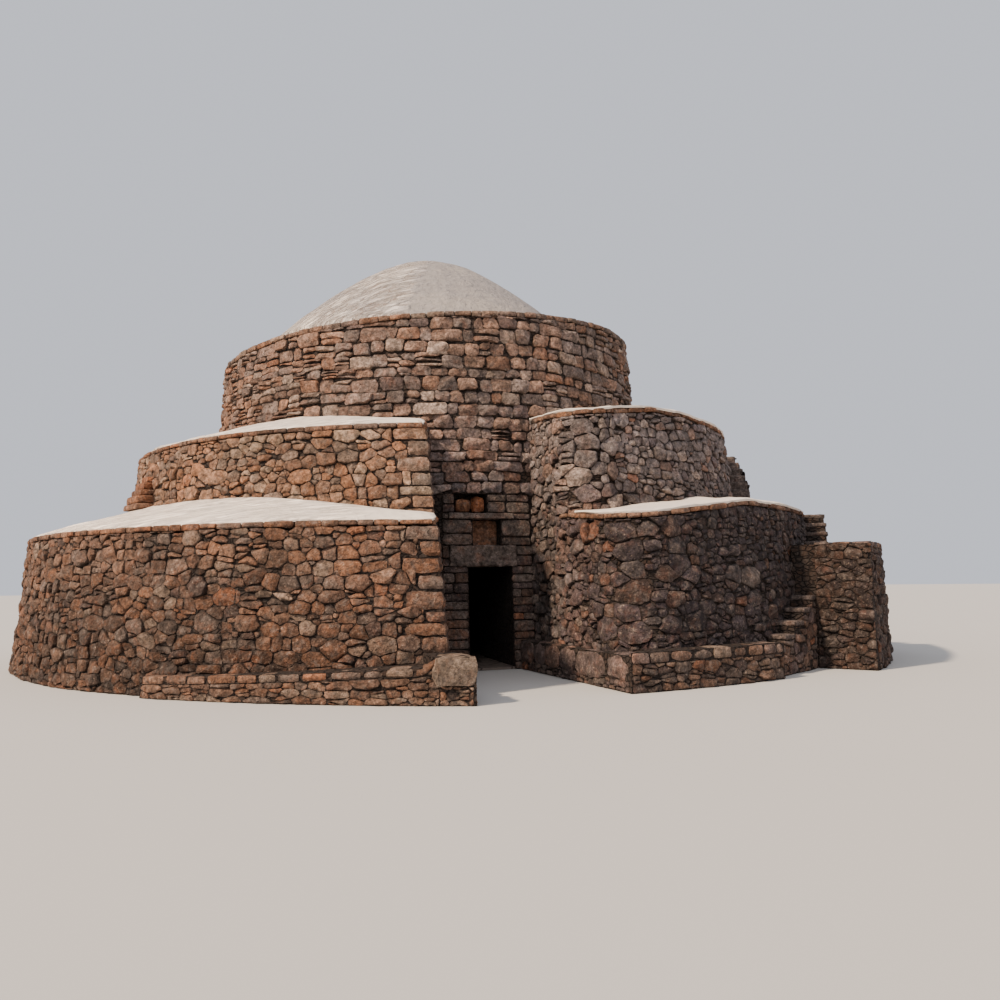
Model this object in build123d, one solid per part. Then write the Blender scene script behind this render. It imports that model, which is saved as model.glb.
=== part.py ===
from build123d import *
import os
from functools import cache
from math import atan, atan2, cos, degrees, radians, sin

# Round dry-stone trullo house in millimetres, +Z up.
# The origin lies on the ground on the axis of the drum, and the entrance passage faces -Y.
# Bearings are in degrees from the front (-Y), positive towards +X, the right-hand side.
# Every round mass is many-sided, so its faces are flat like the faces of the stones laid in them.
wall_sides = 72

# Drum, a battered round wall round a corbelled chamber
drum_base_radius = 5150
drum_batter = 0.057
drum_rim_height = 6830
drum_rim_tilt = 4.3
drum_coping_depth = 420
drum_coping_thickness = 120
coping_overhang = 35
springing_height = 4500
vault_height = 6250
chamber_radius = 2600
springing_radius = 1750
vault_eye_radius = 400
capstone_radius = 720
capstone_thickness = 170
capstone_gap = 3
chamber_floor_thickness = 40

# Dome, a plastered mass of masonry that stands on the drum
dome_offset = 70
dome_base_radius = 4010
dome_apex_height = 9570
dome_rise = 2690
dome_power = 1.5
dome_stations = (1, 0.84, 0.68, 0.53, 0.39, 0.26, 0.15, 0.07, 0.02)

# Doorway, its corridor and the blocks round it
bay_left = -770
bay_right = 1000
door_left = -280
door_right = 560
door_height = 1890
facing_depth = 500
lintel_left = -630
lintel_right = 640
lintel_height = 380
lintel_projection = 45
roof_slab_thickness = 200
roof_slab_count = 4
roof_slab_gap = 6
niche_left = -180
niche_right = 370
niche_height = 500
slab_left = -640
slab_right = 610
slab_thickness = 110
slab_projection = 60
upper_niche_left = -530
upper_niche_right = 100
upper_niche_height = 360
upper_niche_recess = 90
upper_niche_stone_count = 3
upper_niche_stone_gap = 8

# Passage between the two ends of the terraces, a funnel that widens to the front
passage_left_x = -770
passage_left_y = -5100
passage_left_splay = 0.18
passage_left_batter = 0.08
passage_right_x = 1000
passage_right_y = -4870
passage_right_splay = 0.075
passage_right_batter = 0.01

# Upper terrace, wide enough to walk round the drum
upper_terrace_width = 2050
tier2_base_radius = drum_base_radius + upper_terrace_width
tier2_batter = 0.105
tier2_offset = 225
tier2_left_rim = 4230
tier2_right_rim = 4780
tier2_left_rise = 0.36
tier2_right_rise = 0.2
tier2_left_passage_rim = 4300
tier2_right_passage_rim = 4560
tier2_corner_radius = 850

# Lower terrace, a second walk outside the upper one
lower_terrace_width = 1520
tier1_base_radius = tier2_base_radius + lower_terrace_width
tier1_batter = 0.085
tier1_left_rim = 2500
tier1_right_rim = 2950
tier1_left_rise = 0.345
tier1_right_rise = 0.15
tier1_left_passage_rim = 2530
tier1_right_passage_rim = 2600
tier1_corner_radius = 800

# Finish of both terraces: a sloping screed behind a course of flat rim stones
corner_facets = 5
screed_thickness = 50
coping_depth = 330
coping_thickness = 115
fall_along = 0.1
fall_inward = 0.1

# Stone bench round the foot of the lower terrace, with a big block at its left corner
bench_end_bearing = -39
bench_end_depth = 200
bench_end_radius = tier1_base_radius + bench_end_depth
bench_middle_bearing = -22
bench_middle_depth = 370
bench_middle_radius = tier1_base_radius + bench_middle_depth
bench_left_low = 300
bench_left_high = 490
corner_block_left = -1760
corner_block_right = -1210
corner_block_depth = 660
corner_block_front = -(tier1_base_radius + corner_block_depth)
corner_block_bond = 120
corner_block_back = -(tier1_base_radius - corner_block_bond)
corner_block_height = 630
corner_block_chamfer = 90
bench_right_corner_x = 1140
bench_right_corner_depth = 300
bench_right_corner_y = -(tier1_base_radius + bench_right_corner_depth)
bench_right_middle_bearing = 15
bench_right_middle_depth = 360
bench_right_middle_radius = tier1_base_radius + bench_right_middle_depth
bench_right_end_depth = 480
bench_right_end_radius = tier1_base_radius + bench_right_end_depth
bench_right_height = 570
bench_door_x = 690
passage_bench_height = 520

# Stair up the right flank to the lower terrace, and the buttress beside its upper half
stair_start = 27
stair_step_angle = 2.6
stair_step_count = 12
stair_first_rise = 460
stair_depth = 280
stair_radius = tier1_base_radius + stair_depth
stair_batter = 0.02
stair_landing_angle = 7
tread_thickness = 90
tread_overhang = 30
buttress_start = 39
buttress_depth = 1000
buttress_radius = stair_radius + buttress_depth
buttress_batter = 0.04
buttress_height = 2200

# Short flight on the right flank from the lower terrace to the upper one
upper_riser = 200
upper_step_angle = 2.9
upper_flight_start = 60
upper_step_count = 6
upper_flight_depth = 250
upper_flight_radius = tier2_base_radius + upper_flight_depth

# Bodies used only to cut others reach this far
reach = 30000
overrun = 400

lintel_bottom = door_height
lintel_top = door_height + lintel_height
slab_bottom = lintel_top + niche_height
slab_top = slab_bottom + slab_thickness
upper_niche_top = slab_top + upper_niche_height
facing_back = -(drum_base_radius - facing_depth)


def polar(radius, bearing, height=0):
    """Point at a radius and bearing from the axis."""
    angle = radians(bearing)
    return Vector(radius * sin(angle), -radius * cos(angle), height)


def block(x_low, x_high, y_low, y_high, z_low, z_high):
    """Upright block between two corners."""
    size = Box(x_high - x_low, y_high - y_low, z_high - z_low, align=(Align.MIN, Align.MIN, Align.MIN))
    return Pos(x_low, y_low, z_low) * size


def below_plane(point, normal):
    """Everything on the inner side of a plane, as a large block."""
    half = Box(reach * 2, reach * 2, reach, align=(Align.CENTER, Align.CENTER, Align.MAX))
    return Plane(origin=point, z_dir=normal) * half


@cache
def battered(base_radius, batter, low, high):
    """Many-sided mass whose flat faces lean inwards as they rise, at this distance at the ground."""
    foot = RegularPolygon(base_radius - batter * low, wall_sides, major_radius=False)
    return Pos(0, 0, low) * extrude(foot, amount=high - low, taper=degrees(atan(batter)))


def upright(radius, low, high):
    """Many-sided mass with upright faces."""
    return battered(radius, 0, low, high)


def sector(inner, outer, start, end, low, high):
    """Upright piece of a ring between two radii, two bearings and two heights."""
    middle = (start + end) / 2
    outline = [
        Line(polar(inner, start), polar(outer, start)),
        ThreePointArc(polar(outer, start), polar(outer, middle), polar(outer, end)),
        Line(polar(outer, end), polar(inner, end)),
        ThreePointArc(polar(inner, end), polar(inner, middle), polar(inner, start)),
    ]
    return Pos(0, 0, low) * extrude(make_face(outline), amount=high - low, dir=(0, 0, 1))


def wedge(start, end, low, high):
    """Slice of a cake between two bearings, out past the whole building."""
    outline = Polyline(Vector(0, 0, 0), polar(reach, start), polar(reach, end), close=True)
    return Pos(0, 0, low) * extrude(make_face(outline), amount=high - low, dir=(0, 0, 1))


@cache
def chamber_space():
    """The corbelled chamber as a solid, which closes in faster above the springing."""
    lower = battered(chamber_radius, (chamber_radius - springing_radius) / springing_height, 0, springing_height)
    upper_height = vault_height - springing_height
    upper = battered(springing_radius, (springing_radius - vault_eye_radius) / upper_height, 0, upper_height)
    return lower + Pos(0, 0, springing_height) * upper


def drum_mass(low, high):
    """The drum as a plain battered mass."""
    return battered(drum_base_radius, drum_batter, low, high)


def rim_cut(lowered=0):
    """Everything below the tilted rim of the drum."""
    angle = radians(drum_rim_tilt)
    return below_plane((0, 0, drum_rim_height - lowered), (-sin(angle), 0, cos(angle)))


def drum_walls():
    """Lower walls of the drum beside the door bay, and round to the back."""
    shell = drum_mass(0, springing_height) - chamber_space()
    front = shell & wedge(-45, 45, 0, springing_height)
    left_of_bay = block(-reach, bay_left, -reach, 0, 0, springing_height)
    right_of_bay = block(bay_right, reach, -reach, 0, 0, springing_height)
    return {
        "drum_wall_front_left": front & left_of_bay,
        "drum_wall_front_right": front & right_of_bay,
        "drum_wall_right": shell & wedge(45, 135, 0, springing_height),
        "drum_wall_rear": shell & wedge(135, 225, 0, springing_height),
        "drum_wall_left": shell & wedge(225, 315, 0, springing_height),
    }


def vault_walls():
    """Upper drum, which closes in over the chamber, in four quarters."""
    shell = drum_mass(springing_height, vault_height) - chamber_space()
    names = {"vault_front": -45, "vault_right": 45, "vault_rear": 135, "vault_left": 225}
    return {name: shell & wedge(at, at + 90, springing_height, vault_height) for name, at in names.items()}


def capstone():
    """Flat stone that closes the eye of the vault."""
    return upright(capstone_radius, vault_height, vault_height + capstone_thickness)


def drum_crown():
    """Filling over the vault up to the tilted rim, round the capstone and inside the coping."""
    top = drum_rim_height + overrun
    mass = drum_mass(vault_height, top) & rim_cut()
    seat_top = vault_height + capstone_thickness + capstone_gap
    seat = upright(capstone_radius + capstone_gap, vault_height, seat_top)
    return mass - seat - drum_coping()


def drum_coping():
    """Course of flat stones round the rim of the drum, a little proud of its face."""
    top = drum_rim_height + overrun
    proud = battered(drum_base_radius + coping_overhang, drum_batter, vault_height, top)
    rim_radius = drum_base_radius - drum_batter * drum_rim_height
    core = upright(rim_radius - drum_coping_depth, 0, reach)
    return (proud & rim_cut()) - rim_cut(drum_coping_thickness) - core


def dome_height(share):
    """Height of the dome's surface at a share of its radius; the fall grows as a power of it."""
    return dome_apex_height - dome_rise * share ** dome_power


def dome():
    """Pointed dome with a small blunt tip, in bands that grow flatter towards the top."""
    bands = [upright(dome_base_radius, drum_rim_height - overrun, dome_height(dome_stations[0]))]
    for outer, inner in zip(dome_stations, dome_stations[1:]):
        height = dome_height(inner) - dome_height(outer)
        batter = dome_base_radius * (outer - inner) / height
        bands.append(Pos(0, 0, dome_height(outer)) * battered(dome_base_radius * outer, batter, 0, height))
    return Pos(dome_offset, 0, 0) * fuse_all(bands) - rim_cut()


@cache
def whole_door_bay():
    """Drum wall between the two sides of the door bay, up to the springing."""
    wall = drum_mass(0, springing_height) - chamber_space()
    return wall & block(bay_left, bay_right, -reach, -springing_radius / 2, 0, springing_height)


def door_bay(low, high):
    """The wall of the door bay between two heights."""
    return whole_door_bay() & block(bay_left, bay_right, -reach, 0, low, high)


def lintel():
    """Rough single block over the doorway."""
    face = -drum_base_radius + drum_batter * lintel_bottom - lintel_projection
    return block(lintel_left, lintel_right, face, facing_back, lintel_bottom, lintel_top)


def relieving_slab():
    """Thin slab that roofs the relieving niche and stands proud of the wall."""
    face = -drum_base_radius + drum_batter * slab_bottom - slab_projection
    return block(slab_left, slab_right, face, facing_back, slab_bottom, slab_top)


def upper_niche_space():
    """Shallow recess over the relieving slab."""
    return block(upper_niche_left, upper_niche_right, -reach, facing_back, slab_top, upper_niche_top)


def upper_niche_stones():
    """Upright stones side by side in the upper recess."""
    pitch = (upper_niche_right - upper_niche_left) / upper_niche_stone_count
    face = -drum_base_radius + drum_batter * slab_top + upper_niche_recess
    stones = []
    for number in range(upper_niche_stone_count):
        left = upper_niche_left + pitch * number + upper_niche_stone_gap / 2
        right = left + pitch - upper_niche_stone_gap
        stones.append(block(left, right, face, facing_back, slab_top, upper_niche_top))
    return Compound(children=stones)


def door_pieces():
    """Jambs, lintel, relieving niche, corridor walls and roof slabs in the door bay."""
    front = block(-reach, reach, -reach, facing_back, 0, springing_height)
    behind = block(-reach, reach, facing_back, reach, 0, springing_height)
    jambs = (door_bay(0, lintel_top) & front) - lintel()
    corridor = door_bay(0, door_height) & behind
    over = door_bay(lintel_top, slab_top) & front
    niche = block(niche_left, niche_right, -reach, facing_back, lintel_top, slab_bottom)
    cheeks = over - relieving_slab() - niche
    facing = (door_bay(slab_top, springing_height) & front) - upper_niche_space()
    left_side = block(-reach, door_left, -reach, reach, 0, springing_height)
    right_side = block(door_right, reach, -reach, reach, 0, springing_height)
    niche_middle = (niche_left + niche_right) / 2
    left_cheek = block(-reach, niche_middle, -reach, reach, 0, springing_height)
    right_cheek = block(niche_middle, reach, -reach, reach, 0, springing_height)
    core = door_bay(door_height + roof_slab_thickness, springing_height) & behind
    return {
        "door_jamb_left": jambs & left_side,
        "door_jamb_right": jambs & right_side,
        "corridor_wall_left": corridor & left_side,
        "corridor_wall_right": corridor & right_side,
        "corridor_roof": corridor_roof(),
        "door_lintel": lintel(),
        "niche_cheek_left": cheeks & left_cheek,
        "niche_cheek_right": cheeks & right_cheek,
        "relieving_slab": relieving_slab(),
        "upper_niche_stones": upper_niche_stones(),
        "over_door_facing": facing,
        "over_door_core": core,
    }


def corridor_roof():
    """Slabs laid side by side across the corridor, from the facing to the chamber."""
    top = door_height + roof_slab_thickness
    deck = door_bay(door_height, top)
    pitch = (chamber_radius + facing_back) / roof_slab_count
    slabs = []
    for number in range(roof_slab_count):
        front = facing_back - pitch * number
        last = number == roof_slab_count - 1
        back = 0 if last else front - pitch - roof_slab_gap
        slabs.append(deck & block(-reach, reach, front, back, door_height, top))
    return Compound(children=slabs)


def chamber_floor():
    """Floor of the chamber with its strip through the corridor to the doorway."""
    disc = chamber_space() & block(-reach, reach, -reach, reach, 0, chamber_floor_thickness)
    strip = drum_mass(0, chamber_floor_thickness) & block(door_left, door_right, -reach, 0, 0, chamber_floor_thickness)
    return disc + strip


def left_of_passage():
    """Everything on the left of the passage's left wall."""
    normal = (1, -passage_left_splay, passage_left_batter)
    return below_plane((passage_left_x, passage_left_y, 0), normal)


def right_of_passage():
    """Everything on the right of the passage's right wall."""
    normal = (-1, -passage_right_splay, passage_right_batter)
    return below_plane((passage_right_x, passage_right_y, 0), normal)


def terrace_top(rim_radius, rim, rise, tilt=0):
    """Everything under a terrace that rises inwards from its rim like a flat cone."""
    low = -overrun * 4 * rise
    slope = battered(rim_radius, 1 / rise, low, overrun * 6 * rise)
    under = slope + block(-reach, reach, -reach, reach, -reach, low)
    return Pos(0, 0, rim) * Rot(0, tilt, 0) * under


def falls_to_passage(side, point, rim):
    """Everything under the plane in which a terrace falls towards the passage."""
    normal = (-side * fall_along, -fall_inward, 1)
    return below_plane((point[0], point[1], rim), normal)


def terrace_tops(place, rim_radius, rims, passage_rims, rises):
    """Everything under the terrace, for each of its four quarters."""
    left_rim, right_rim = rims
    sway = (right_rim - left_rim) / (2 * rim_radius)
    corner_y = -(rim_radius ** 2 - passage_left_x ** 2) ** 0.5
    left_corner = (passage_left_x + passage_left_splay * (corner_y - passage_left_y), corner_y)
    right_corner = (passage_right_x - passage_right_splay * (corner_y - passage_right_y), corner_y)
    left = place * terrace_top(rim_radius, left_rim, rises[0])
    right = place * terrace_top(rim_radius, right_rim, rises[1])
    rear = place * terrace_top(rim_radius, sum(rims) / 2, sum(rises) / 2, -degrees(atan(sway)))
    return {
        "front_left": left & falls_to_passage(-1, left_corner, passage_rims[0]),
        "front_right": right & falls_to_passage(1, right_corner, passage_rims[1]),
        "rear_left": rear,
        "rear_right": rear,
    }


def quarters(high):
    """The four quarters of the plan, the two in front without the passage."""
    return {
        "front_left": block(-reach, 0, -reach, 0, 0, high) & left_of_passage(),
        "front_right": block(0, reach, -reach, 0, 0, high) & right_of_passage(),
        "rear_left": block(-reach, 0, 0, reach, 0, high),
        "rear_right": block(0, reach, 0, reach, 0, high),
    }


def terrace(base_radius, batter, offset, rims, passage_rims, rises, corner_radius, inside):
    """Footprints, walls, rim stones and screed of one terrace, which is open at the passage."""
    rim_radius = base_radius - batter * sum(rims) / 2
    high = max(rims) + overrun * 3
    place = Pos(offset, 0, 0)
    mass = place * battered(base_radius, batter, 0, high)
    proud = place * battered(base_radius + coping_overhang, batter, 0, high)
    core = place * upright(rim_radius - coping_depth, 0, high)
    tops = terrace_tops(place, rim_radius, rims, passage_rims, rises)
    footprints = {}
    walls = {}
    rim_stones = []
    screeds = []
    for name, quarter in quarters(high).items():
        footprint = mass & quarter
        proud_footprint = proud & quarter
        if name == "front_right":
            footprint = round_corner(footprint, offset, base_radius, batter, corner_radius)
            proud_footprint = round_corner(
                proud_footprint, offset, base_radius + coping_overhang, batter, corner_radius + coping_overhang,
            )
        footprints[name] = footprint
        for solid in inside[name]:
            footprint = footprint - solid
            proud_footprint = proud_footprint - solid
        top = tops[name]
        under_screed = Pos(0, 0, -screed_thickness) * top
        under_coping = Pos(0, 0, -coping_thickness) * top
        walls[name] = (footprint & under_coping) + (footprint & under_screed & core)
        rim_stones.append((proud_footprint & top) - under_coping - core)
        screeds.append((footprint & top & core) - under_screed)
    return footprints, walls, fuse_all(rim_stones), fuse_all(screeds)


def rounding_centre(offset, base_radius, radius):
    """Centre of the circle in plan that touches both the passage wall and the outer wall."""
    outwards = Vector(-1, -passage_right_splay, 0).normalized()
    forwards = Vector(-outwards.Y, outwards.X, 0)
    middle = Vector(offset, 0, 0)
    start = Vector(passage_right_x, passage_right_y, 0) - outwards * radius - middle
    along = start.dot(forwards)
    run = (along ** 2 - start.dot(start) + (base_radius - radius) ** 2) ** 0.5 - along
    return middle + start + forwards * run


def round_corner(mass, offset, base_radius, batter, radius):
    """Round the upright corner where the terrace turns from the front into the passage."""
    centre = rounding_centre(offset, base_radius, radius)
    passage_bearing = degrees(atan2(-1, passage_right_splay))
    outer_bearing = degrees(atan2(centre.X - offset, -centre.Y))
    for number in range(1, corner_facets + 1):
        share = number / (corner_facets + 1)
        lean = passage_right_batter + (batter - passage_right_batter) * share
        outwards = polar(1, passage_bearing + (outer_bearing - passage_bearing) * share)
        mass = mass & below_plane(centre + outwards * radius, (outwards.X, outwards.Y, lean))
    return mass


def fuse_all(pieces):
    """Join pieces that meet face to face."""
    whole = pieces[0]
    for piece in pieces[1:]:
        whole = whole + piece
    return whole


def bench_left_mass(footprint):
    """Bench and corner block on the left of the passage, both at the block's height."""
    start = polar(bench_end_radius, bench_end_bearing)
    corner = Vector(corner_block_right, corner_block_front, 0)
    inside_end = polar(bench_end_radius - overrun * 2, bench_end_bearing)
    inside_corner = Vector(corner_block_left, corner_block_back + overrun, 0)
    outline = [
        ThreePointArc(start, polar(bench_middle_radius, bench_middle_bearing), corner),
        Line(corner, Vector(corner_block_right, corner_block_back, 0)),
        Line(Vector(corner_block_right, corner_block_back, 0), inside_corner),
        Line(inside_corner, inside_end),
        Line(inside_end, start),
    ]
    return extrude(make_face(outline), amount=corner_block_height, dir=(0, 0, 1)) - footprint


def bench_left(footprint):
    """Low bench along the left of the lower terrace, which rises towards the passage."""
    low_end = polar(bench_end_radius, bench_end_bearing)
    fall = (bench_left_high - bench_left_low) / (corner_block_left - low_end.X)
    top = below_plane((corner_block_left, 0, bench_left_high), (-fall, 0, 1))
    side = block(-reach, corner_block_left, -reach, 0, 0, corner_block_height)
    return bench_left_mass(footprint) & side & top


def bench_corner_block(footprint):
    """Big block at the passage end of the left bench, with its upper inner edge knocked off."""
    side = block(corner_block_left, 0, -reach, 0, 0, corner_block_height)
    edge = (corner_block_right - corner_block_chamfer, 0, corner_block_height)
    return bench_left_mass(footprint) & side & below_plane(edge, (1, 0, 1))


def bench_right_mass(terraces, drum):
    """Bench on the right of the passage, along the passage wall and round the front."""
    corner = Vector(bench_right_corner_x, bench_right_corner_y, 0)
    end = polar(bench_right_end_radius, stair_start)
    inside_end = polar(bench_right_end_radius - overrun * 2, stair_start)
    at_door = Vector(bench_door_x, passage_left_y, 0)
    behind_wall = Vector(bench_door_x + overrun * 2, facing_back, 0)
    outline = [
        Line(corner, at_door),
        Line(at_door, Vector(bench_door_x, facing_back, 0)),
        Line(Vector(bench_door_x, facing_back, 0), behind_wall),
        Line(behind_wall, inside_end),
        Line(inside_end, end),
        ThreePointArc(end, polar(bench_right_middle_radius, bench_right_middle_bearing), corner),
    ]
    mass = extrude(make_face(outline), amount=bench_right_height, dir=(0, 0, 1))
    for terrace_footprint in terraces:
        mass = mass - terrace_footprint
    return mass - drum


def bench_right(terraces, drum):
    """The right bench in two lengths that meet in a mitre at its corner."""
    mass = bench_right_mass(terraces, drum)
    corner = (bench_right_corner_x, bench_right_corner_y, 0)
    front = below_plane(corner, (-1, 1, 0))
    passage = below_plane(corner, (1, -1, 0)) & block(0, reach, -reach, 0, 0, passage_bench_height)
    return {"bench_right_front": mass & front, "bench_right_passage": mass & passage}


def stair_tops():
    """Height of each tread, from the first one to the landing at the terrace rim."""
    riser = (tier1_right_rim - stair_first_rise) / stair_step_count
    return [stair_first_rise + riser * number for number in range(stair_step_count + 1)]


def stair_bearings():
    """Bearing where each tread starts, and where the landing ends."""
    starts = [stair_start + stair_step_angle * number for number in range(stair_step_count + 1)]
    return starts + [starts[-1] + stair_landing_angle]


def stair(terrace_parts):
    """Masonry of the flank stair, and its treads as separate slabs."""
    tops = stair_tops()
    bearings = stair_bearings()
    inner = tier1_base_radius - overrun * 2
    mass = sector(inner, reach / 2, bearings[0], bearings[-1], 0, tops[0] - tread_thickness)
    treads = []
    for number, top in enumerate(tops):
        under = top - tread_thickness
        if number > 0:
            mass = mass + sector(inner, reach / 2, bearings[number], bearings[-1], 0, under)
        outer = stair_radius - stair_batter * top + tread_overhang
        treads.append(sector(inner, outer, bearings[number], bearings[number + 1], under, top))
    mass = mass & battered(stair_radius, stair_batter, 0, reach / 10)
    for part in terrace_parts:
        mass = mass - part
        treads = [tread - part for tread in treads]
    return mass, Compound(children=treads)


def buttress(neighbours):
    """Battered mass that leans against the outer side of the stair."""
    inner = stair_radius - overrun
    block_out = sector(inner, reach / 2, buttress_start, stair_bearings()[-1], 0, buttress_height)
    mass = block_out & battered(buttress_radius, buttress_batter, 0, buttress_height)
    for part in neighbours:
        mass = mass - part
    return mass


def upper_flight(terrace_parts):
    """Solid flight of steps that stands on the lower terrace against the upper one."""
    inner = upper_flight_radius - overrun * 3
    end = upper_flight_start + upper_step_angle * upper_step_count
    steps = []
    for number in range(upper_step_count):
        top = tier2_right_rim - upper_riser * (upper_step_count - number)
        start = upper_flight_start + upper_step_angle * number
        steps.append(sector(inner, upper_flight_radius, start, end, tier1_left_rim, top))
    mass = fuse_all(steps)
    for part in terrace_parts:
        mass = mass - part
    return mass


def build_model():
    """All sub-parts of the house by name."""
    nodes = {}
    nodes.update(drum_walls())
    nodes.update(door_pieces())
    nodes.update(vault_walls())
    nodes["capstone"] = capstone()
    nodes["drum_crown"] = drum_crown()
    nodes["drum_coping"] = drum_coping()
    nodes["dome"] = dome()
    nodes["chamber_floor"] = chamber_floor()

    regions = ("front_left", "front_right", "rear_left", "rear_right")
    drum = drum_mass(0, drum_rim_height + overrun)
    upper, walls, coping, screed = terrace(
        tier2_base_radius, tier2_batter, tier2_offset,
        (tier2_left_rim, tier2_right_rim), (tier2_left_passage_rim, tier2_right_passage_rim),
        (tier2_left_rise, tier2_right_rise), tier2_corner_radius, {name: [drum] for name in regions},
    )
    upper_parts = [coping, screed, *walls.values()]
    nodes.update({"upper_terrace_" + name: wall for name, wall in walls.items()})
    nodes["upper_terrace_coping"] = coping
    nodes["upper_terrace_screed"] = screed

    lower, walls, coping, screed = terrace(
        tier1_base_radius, tier1_batter, 0,
        (tier1_left_rim, tier1_right_rim), (tier1_left_passage_rim, tier1_right_passage_rim),
        (tier1_left_rise, tier1_right_rise), tier1_corner_radius,
        {name: [drum, upper[name]] for name in regions},
    )
    lower_parts = [coping, screed, *walls.values()]
    nodes.update({"lower_terrace_" + name: wall for name, wall in walls.items()})
    nodes["lower_terrace_coping"] = coping
    nodes["lower_terrace_screed"] = screed

    nodes["bench_left"] = bench_left(lower["front_left"])
    nodes["bench_corner_block"] = bench_corner_block(lower["front_left"])
    nodes.update(bench_right([lower["front_right"], upper["front_right"]], drum))
    stair_side = [walls["front_right"], coping, screed]
    masonry, treads = stair(stair_side)
    nodes["stair_masonry"] = masonry
    nodes["stair_treads"] = treads
    nodes["stair_buttress"] = buttress([*stair_side, masonry, *treads.solids()])
    nodes["upper_steps_right"] = upper_flight(lower_parts + upper_parts)
    return nodes


os.makedirs("parts", exist_ok=True)
for node_name, node_solid in build_model().items():
    export_step(node_solid, "parts/" + node_name + ".step")
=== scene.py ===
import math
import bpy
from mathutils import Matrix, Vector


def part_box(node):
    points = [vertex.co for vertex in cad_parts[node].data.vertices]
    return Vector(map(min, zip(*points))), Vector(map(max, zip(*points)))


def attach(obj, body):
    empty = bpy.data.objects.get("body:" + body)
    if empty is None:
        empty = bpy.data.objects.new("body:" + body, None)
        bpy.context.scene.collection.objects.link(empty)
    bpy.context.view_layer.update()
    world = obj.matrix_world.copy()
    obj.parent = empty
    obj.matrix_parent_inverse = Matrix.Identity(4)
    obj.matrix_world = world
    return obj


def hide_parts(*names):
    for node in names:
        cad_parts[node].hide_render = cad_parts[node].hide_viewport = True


bl_info = {
    "name": "Dry-Stone House Dresser",
    "version": (1, 0, 0),
    "blender": (4, 5, 0),
    "location": "View3D > Sidebar > Stone House",
    "description": "Lays the stones, rim slabs, steps and plaster of a round dry-stone house over its walls",
    "category": "Object",
}

from functools import cache

import bpy
import numpy as np
from bpy.props import FloatProperty, FloatVectorProperty, IntProperty, PointerProperty
from mathutils import Matrix, Vector, noise
from mathutils.bvhtree import BVHTree
from mathutils.kdtree import KDTree

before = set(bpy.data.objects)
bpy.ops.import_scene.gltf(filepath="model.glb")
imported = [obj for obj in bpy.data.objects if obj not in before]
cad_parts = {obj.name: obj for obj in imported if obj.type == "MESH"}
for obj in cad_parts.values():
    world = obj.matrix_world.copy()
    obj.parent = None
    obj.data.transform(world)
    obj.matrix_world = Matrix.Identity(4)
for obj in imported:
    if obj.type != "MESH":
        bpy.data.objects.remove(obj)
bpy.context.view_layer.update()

QUARTERS = ("front_left", "front_right", "rear_left", "rear_right")
WALLS = {
    "lower": ["lower_terrace_" + part for part in QUARTERS],
    "upper": ["upper_terrace_" + part for part in QUARTERS],
    "drum": [
        *("drum_wall_" + part for part in ("front_left", "front_right", "right", "rear", "left")),
        *("vault_" + part for part in ("front", "right", "rear", "left")),
    ],
}

# What tells the two terraces apart: where their walls are read off, in metres, their seed and their corners
TERRACES = {
    "lower": {
        "heights": (0.8, 2.2), "rim": 2.7, "rounding": 0.8, "passage_y": -7.6, "left_inner_y": -6.9,
        "right_inner_y": -6.0, "seed": 11, "corner_bearing": -12, "right_shrink": 0.88,
    },
    "upper": {
        "heights": (3.3, 4.0), "rim": 4.5, "rounding": 0.85, "passage_y": -5.4, "left_inner_y": -4.75,
        "right_inner_y": -4.75, "seed": 23, "corner_bearing": 3, "right_shrink": 1.0,
    },
}
DRUM_HEIGHTS = (0.5, 6.0)
DRUM_RIM = 6.8

# Degrees of arc that part the plain stones of the rear from the full stones of the front
REAR_LEFT_ARC = 88
FRONT_RIGHT_ARC = 84
DRUM_FRONT_ARC = 95

# Painted shade and painted sunlight: factors on the stones' colours by place
RIGHT_SHADE = (0.64, 0.68, 0.76)
UPPER_LEFT_GLOW = (1.28, 1.26, 1.18)
PASSAGE_SHADE = 0.56
BUTTRESS_SHADE = 0.55
BUTTRESS_NEAR_SHADE = 0.4
LEFT_BENCH_SHADE = 0.84
RIGHT_BENCH_SHADE = 0.62

# Bearings in degrees from the front, and reaches in metres from the axis
BUTTRESS_START, BUTTRESS_END = 39, 65.1
BUTTRESS_COURSES = ((8.98, 9.3), (9.3, 9.64), (9.64, 9.97))
BUTTRESS_NEAR_REACH = (9.02, 10.0)
BUTTRESS_FAR_REACH = (10.0, 8.75)
UPPER_FLIGHT_HEIGHT = 3.4
STAIR_SIDE = (27.2, 39)
UPPER_FLIGHT = (60.3, 77.2)
FLANK_SLABS_BEARING = -67
DOOR_BAY = (-9.5, 11.5)

# Metres: where rays towards the house start, and how far stones reach down past the foot of a wall
LOOK_FROM = 14
FAR_AWAY = 30
FOOT_OVERLAP = 0.08

# Square metres of a wall's face
SMALLEST_STONE = 0.0016


# Sizes and colours


def length(name, text, default, **more):
    return FloatProperty(name=name, description=text, default=default, unit="LENGTH", **more)


def turn_angle(name, text, degrees):
    return FloatProperty(name=name, description=text, default=math.radians(degrees), subtype="ANGLE")


def colour(name, text, default):
    return FloatVectorProperty(
        name=name, description=text, default=default, min=0, max=1, size=3, subtype="COLOR",
    )


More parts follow.
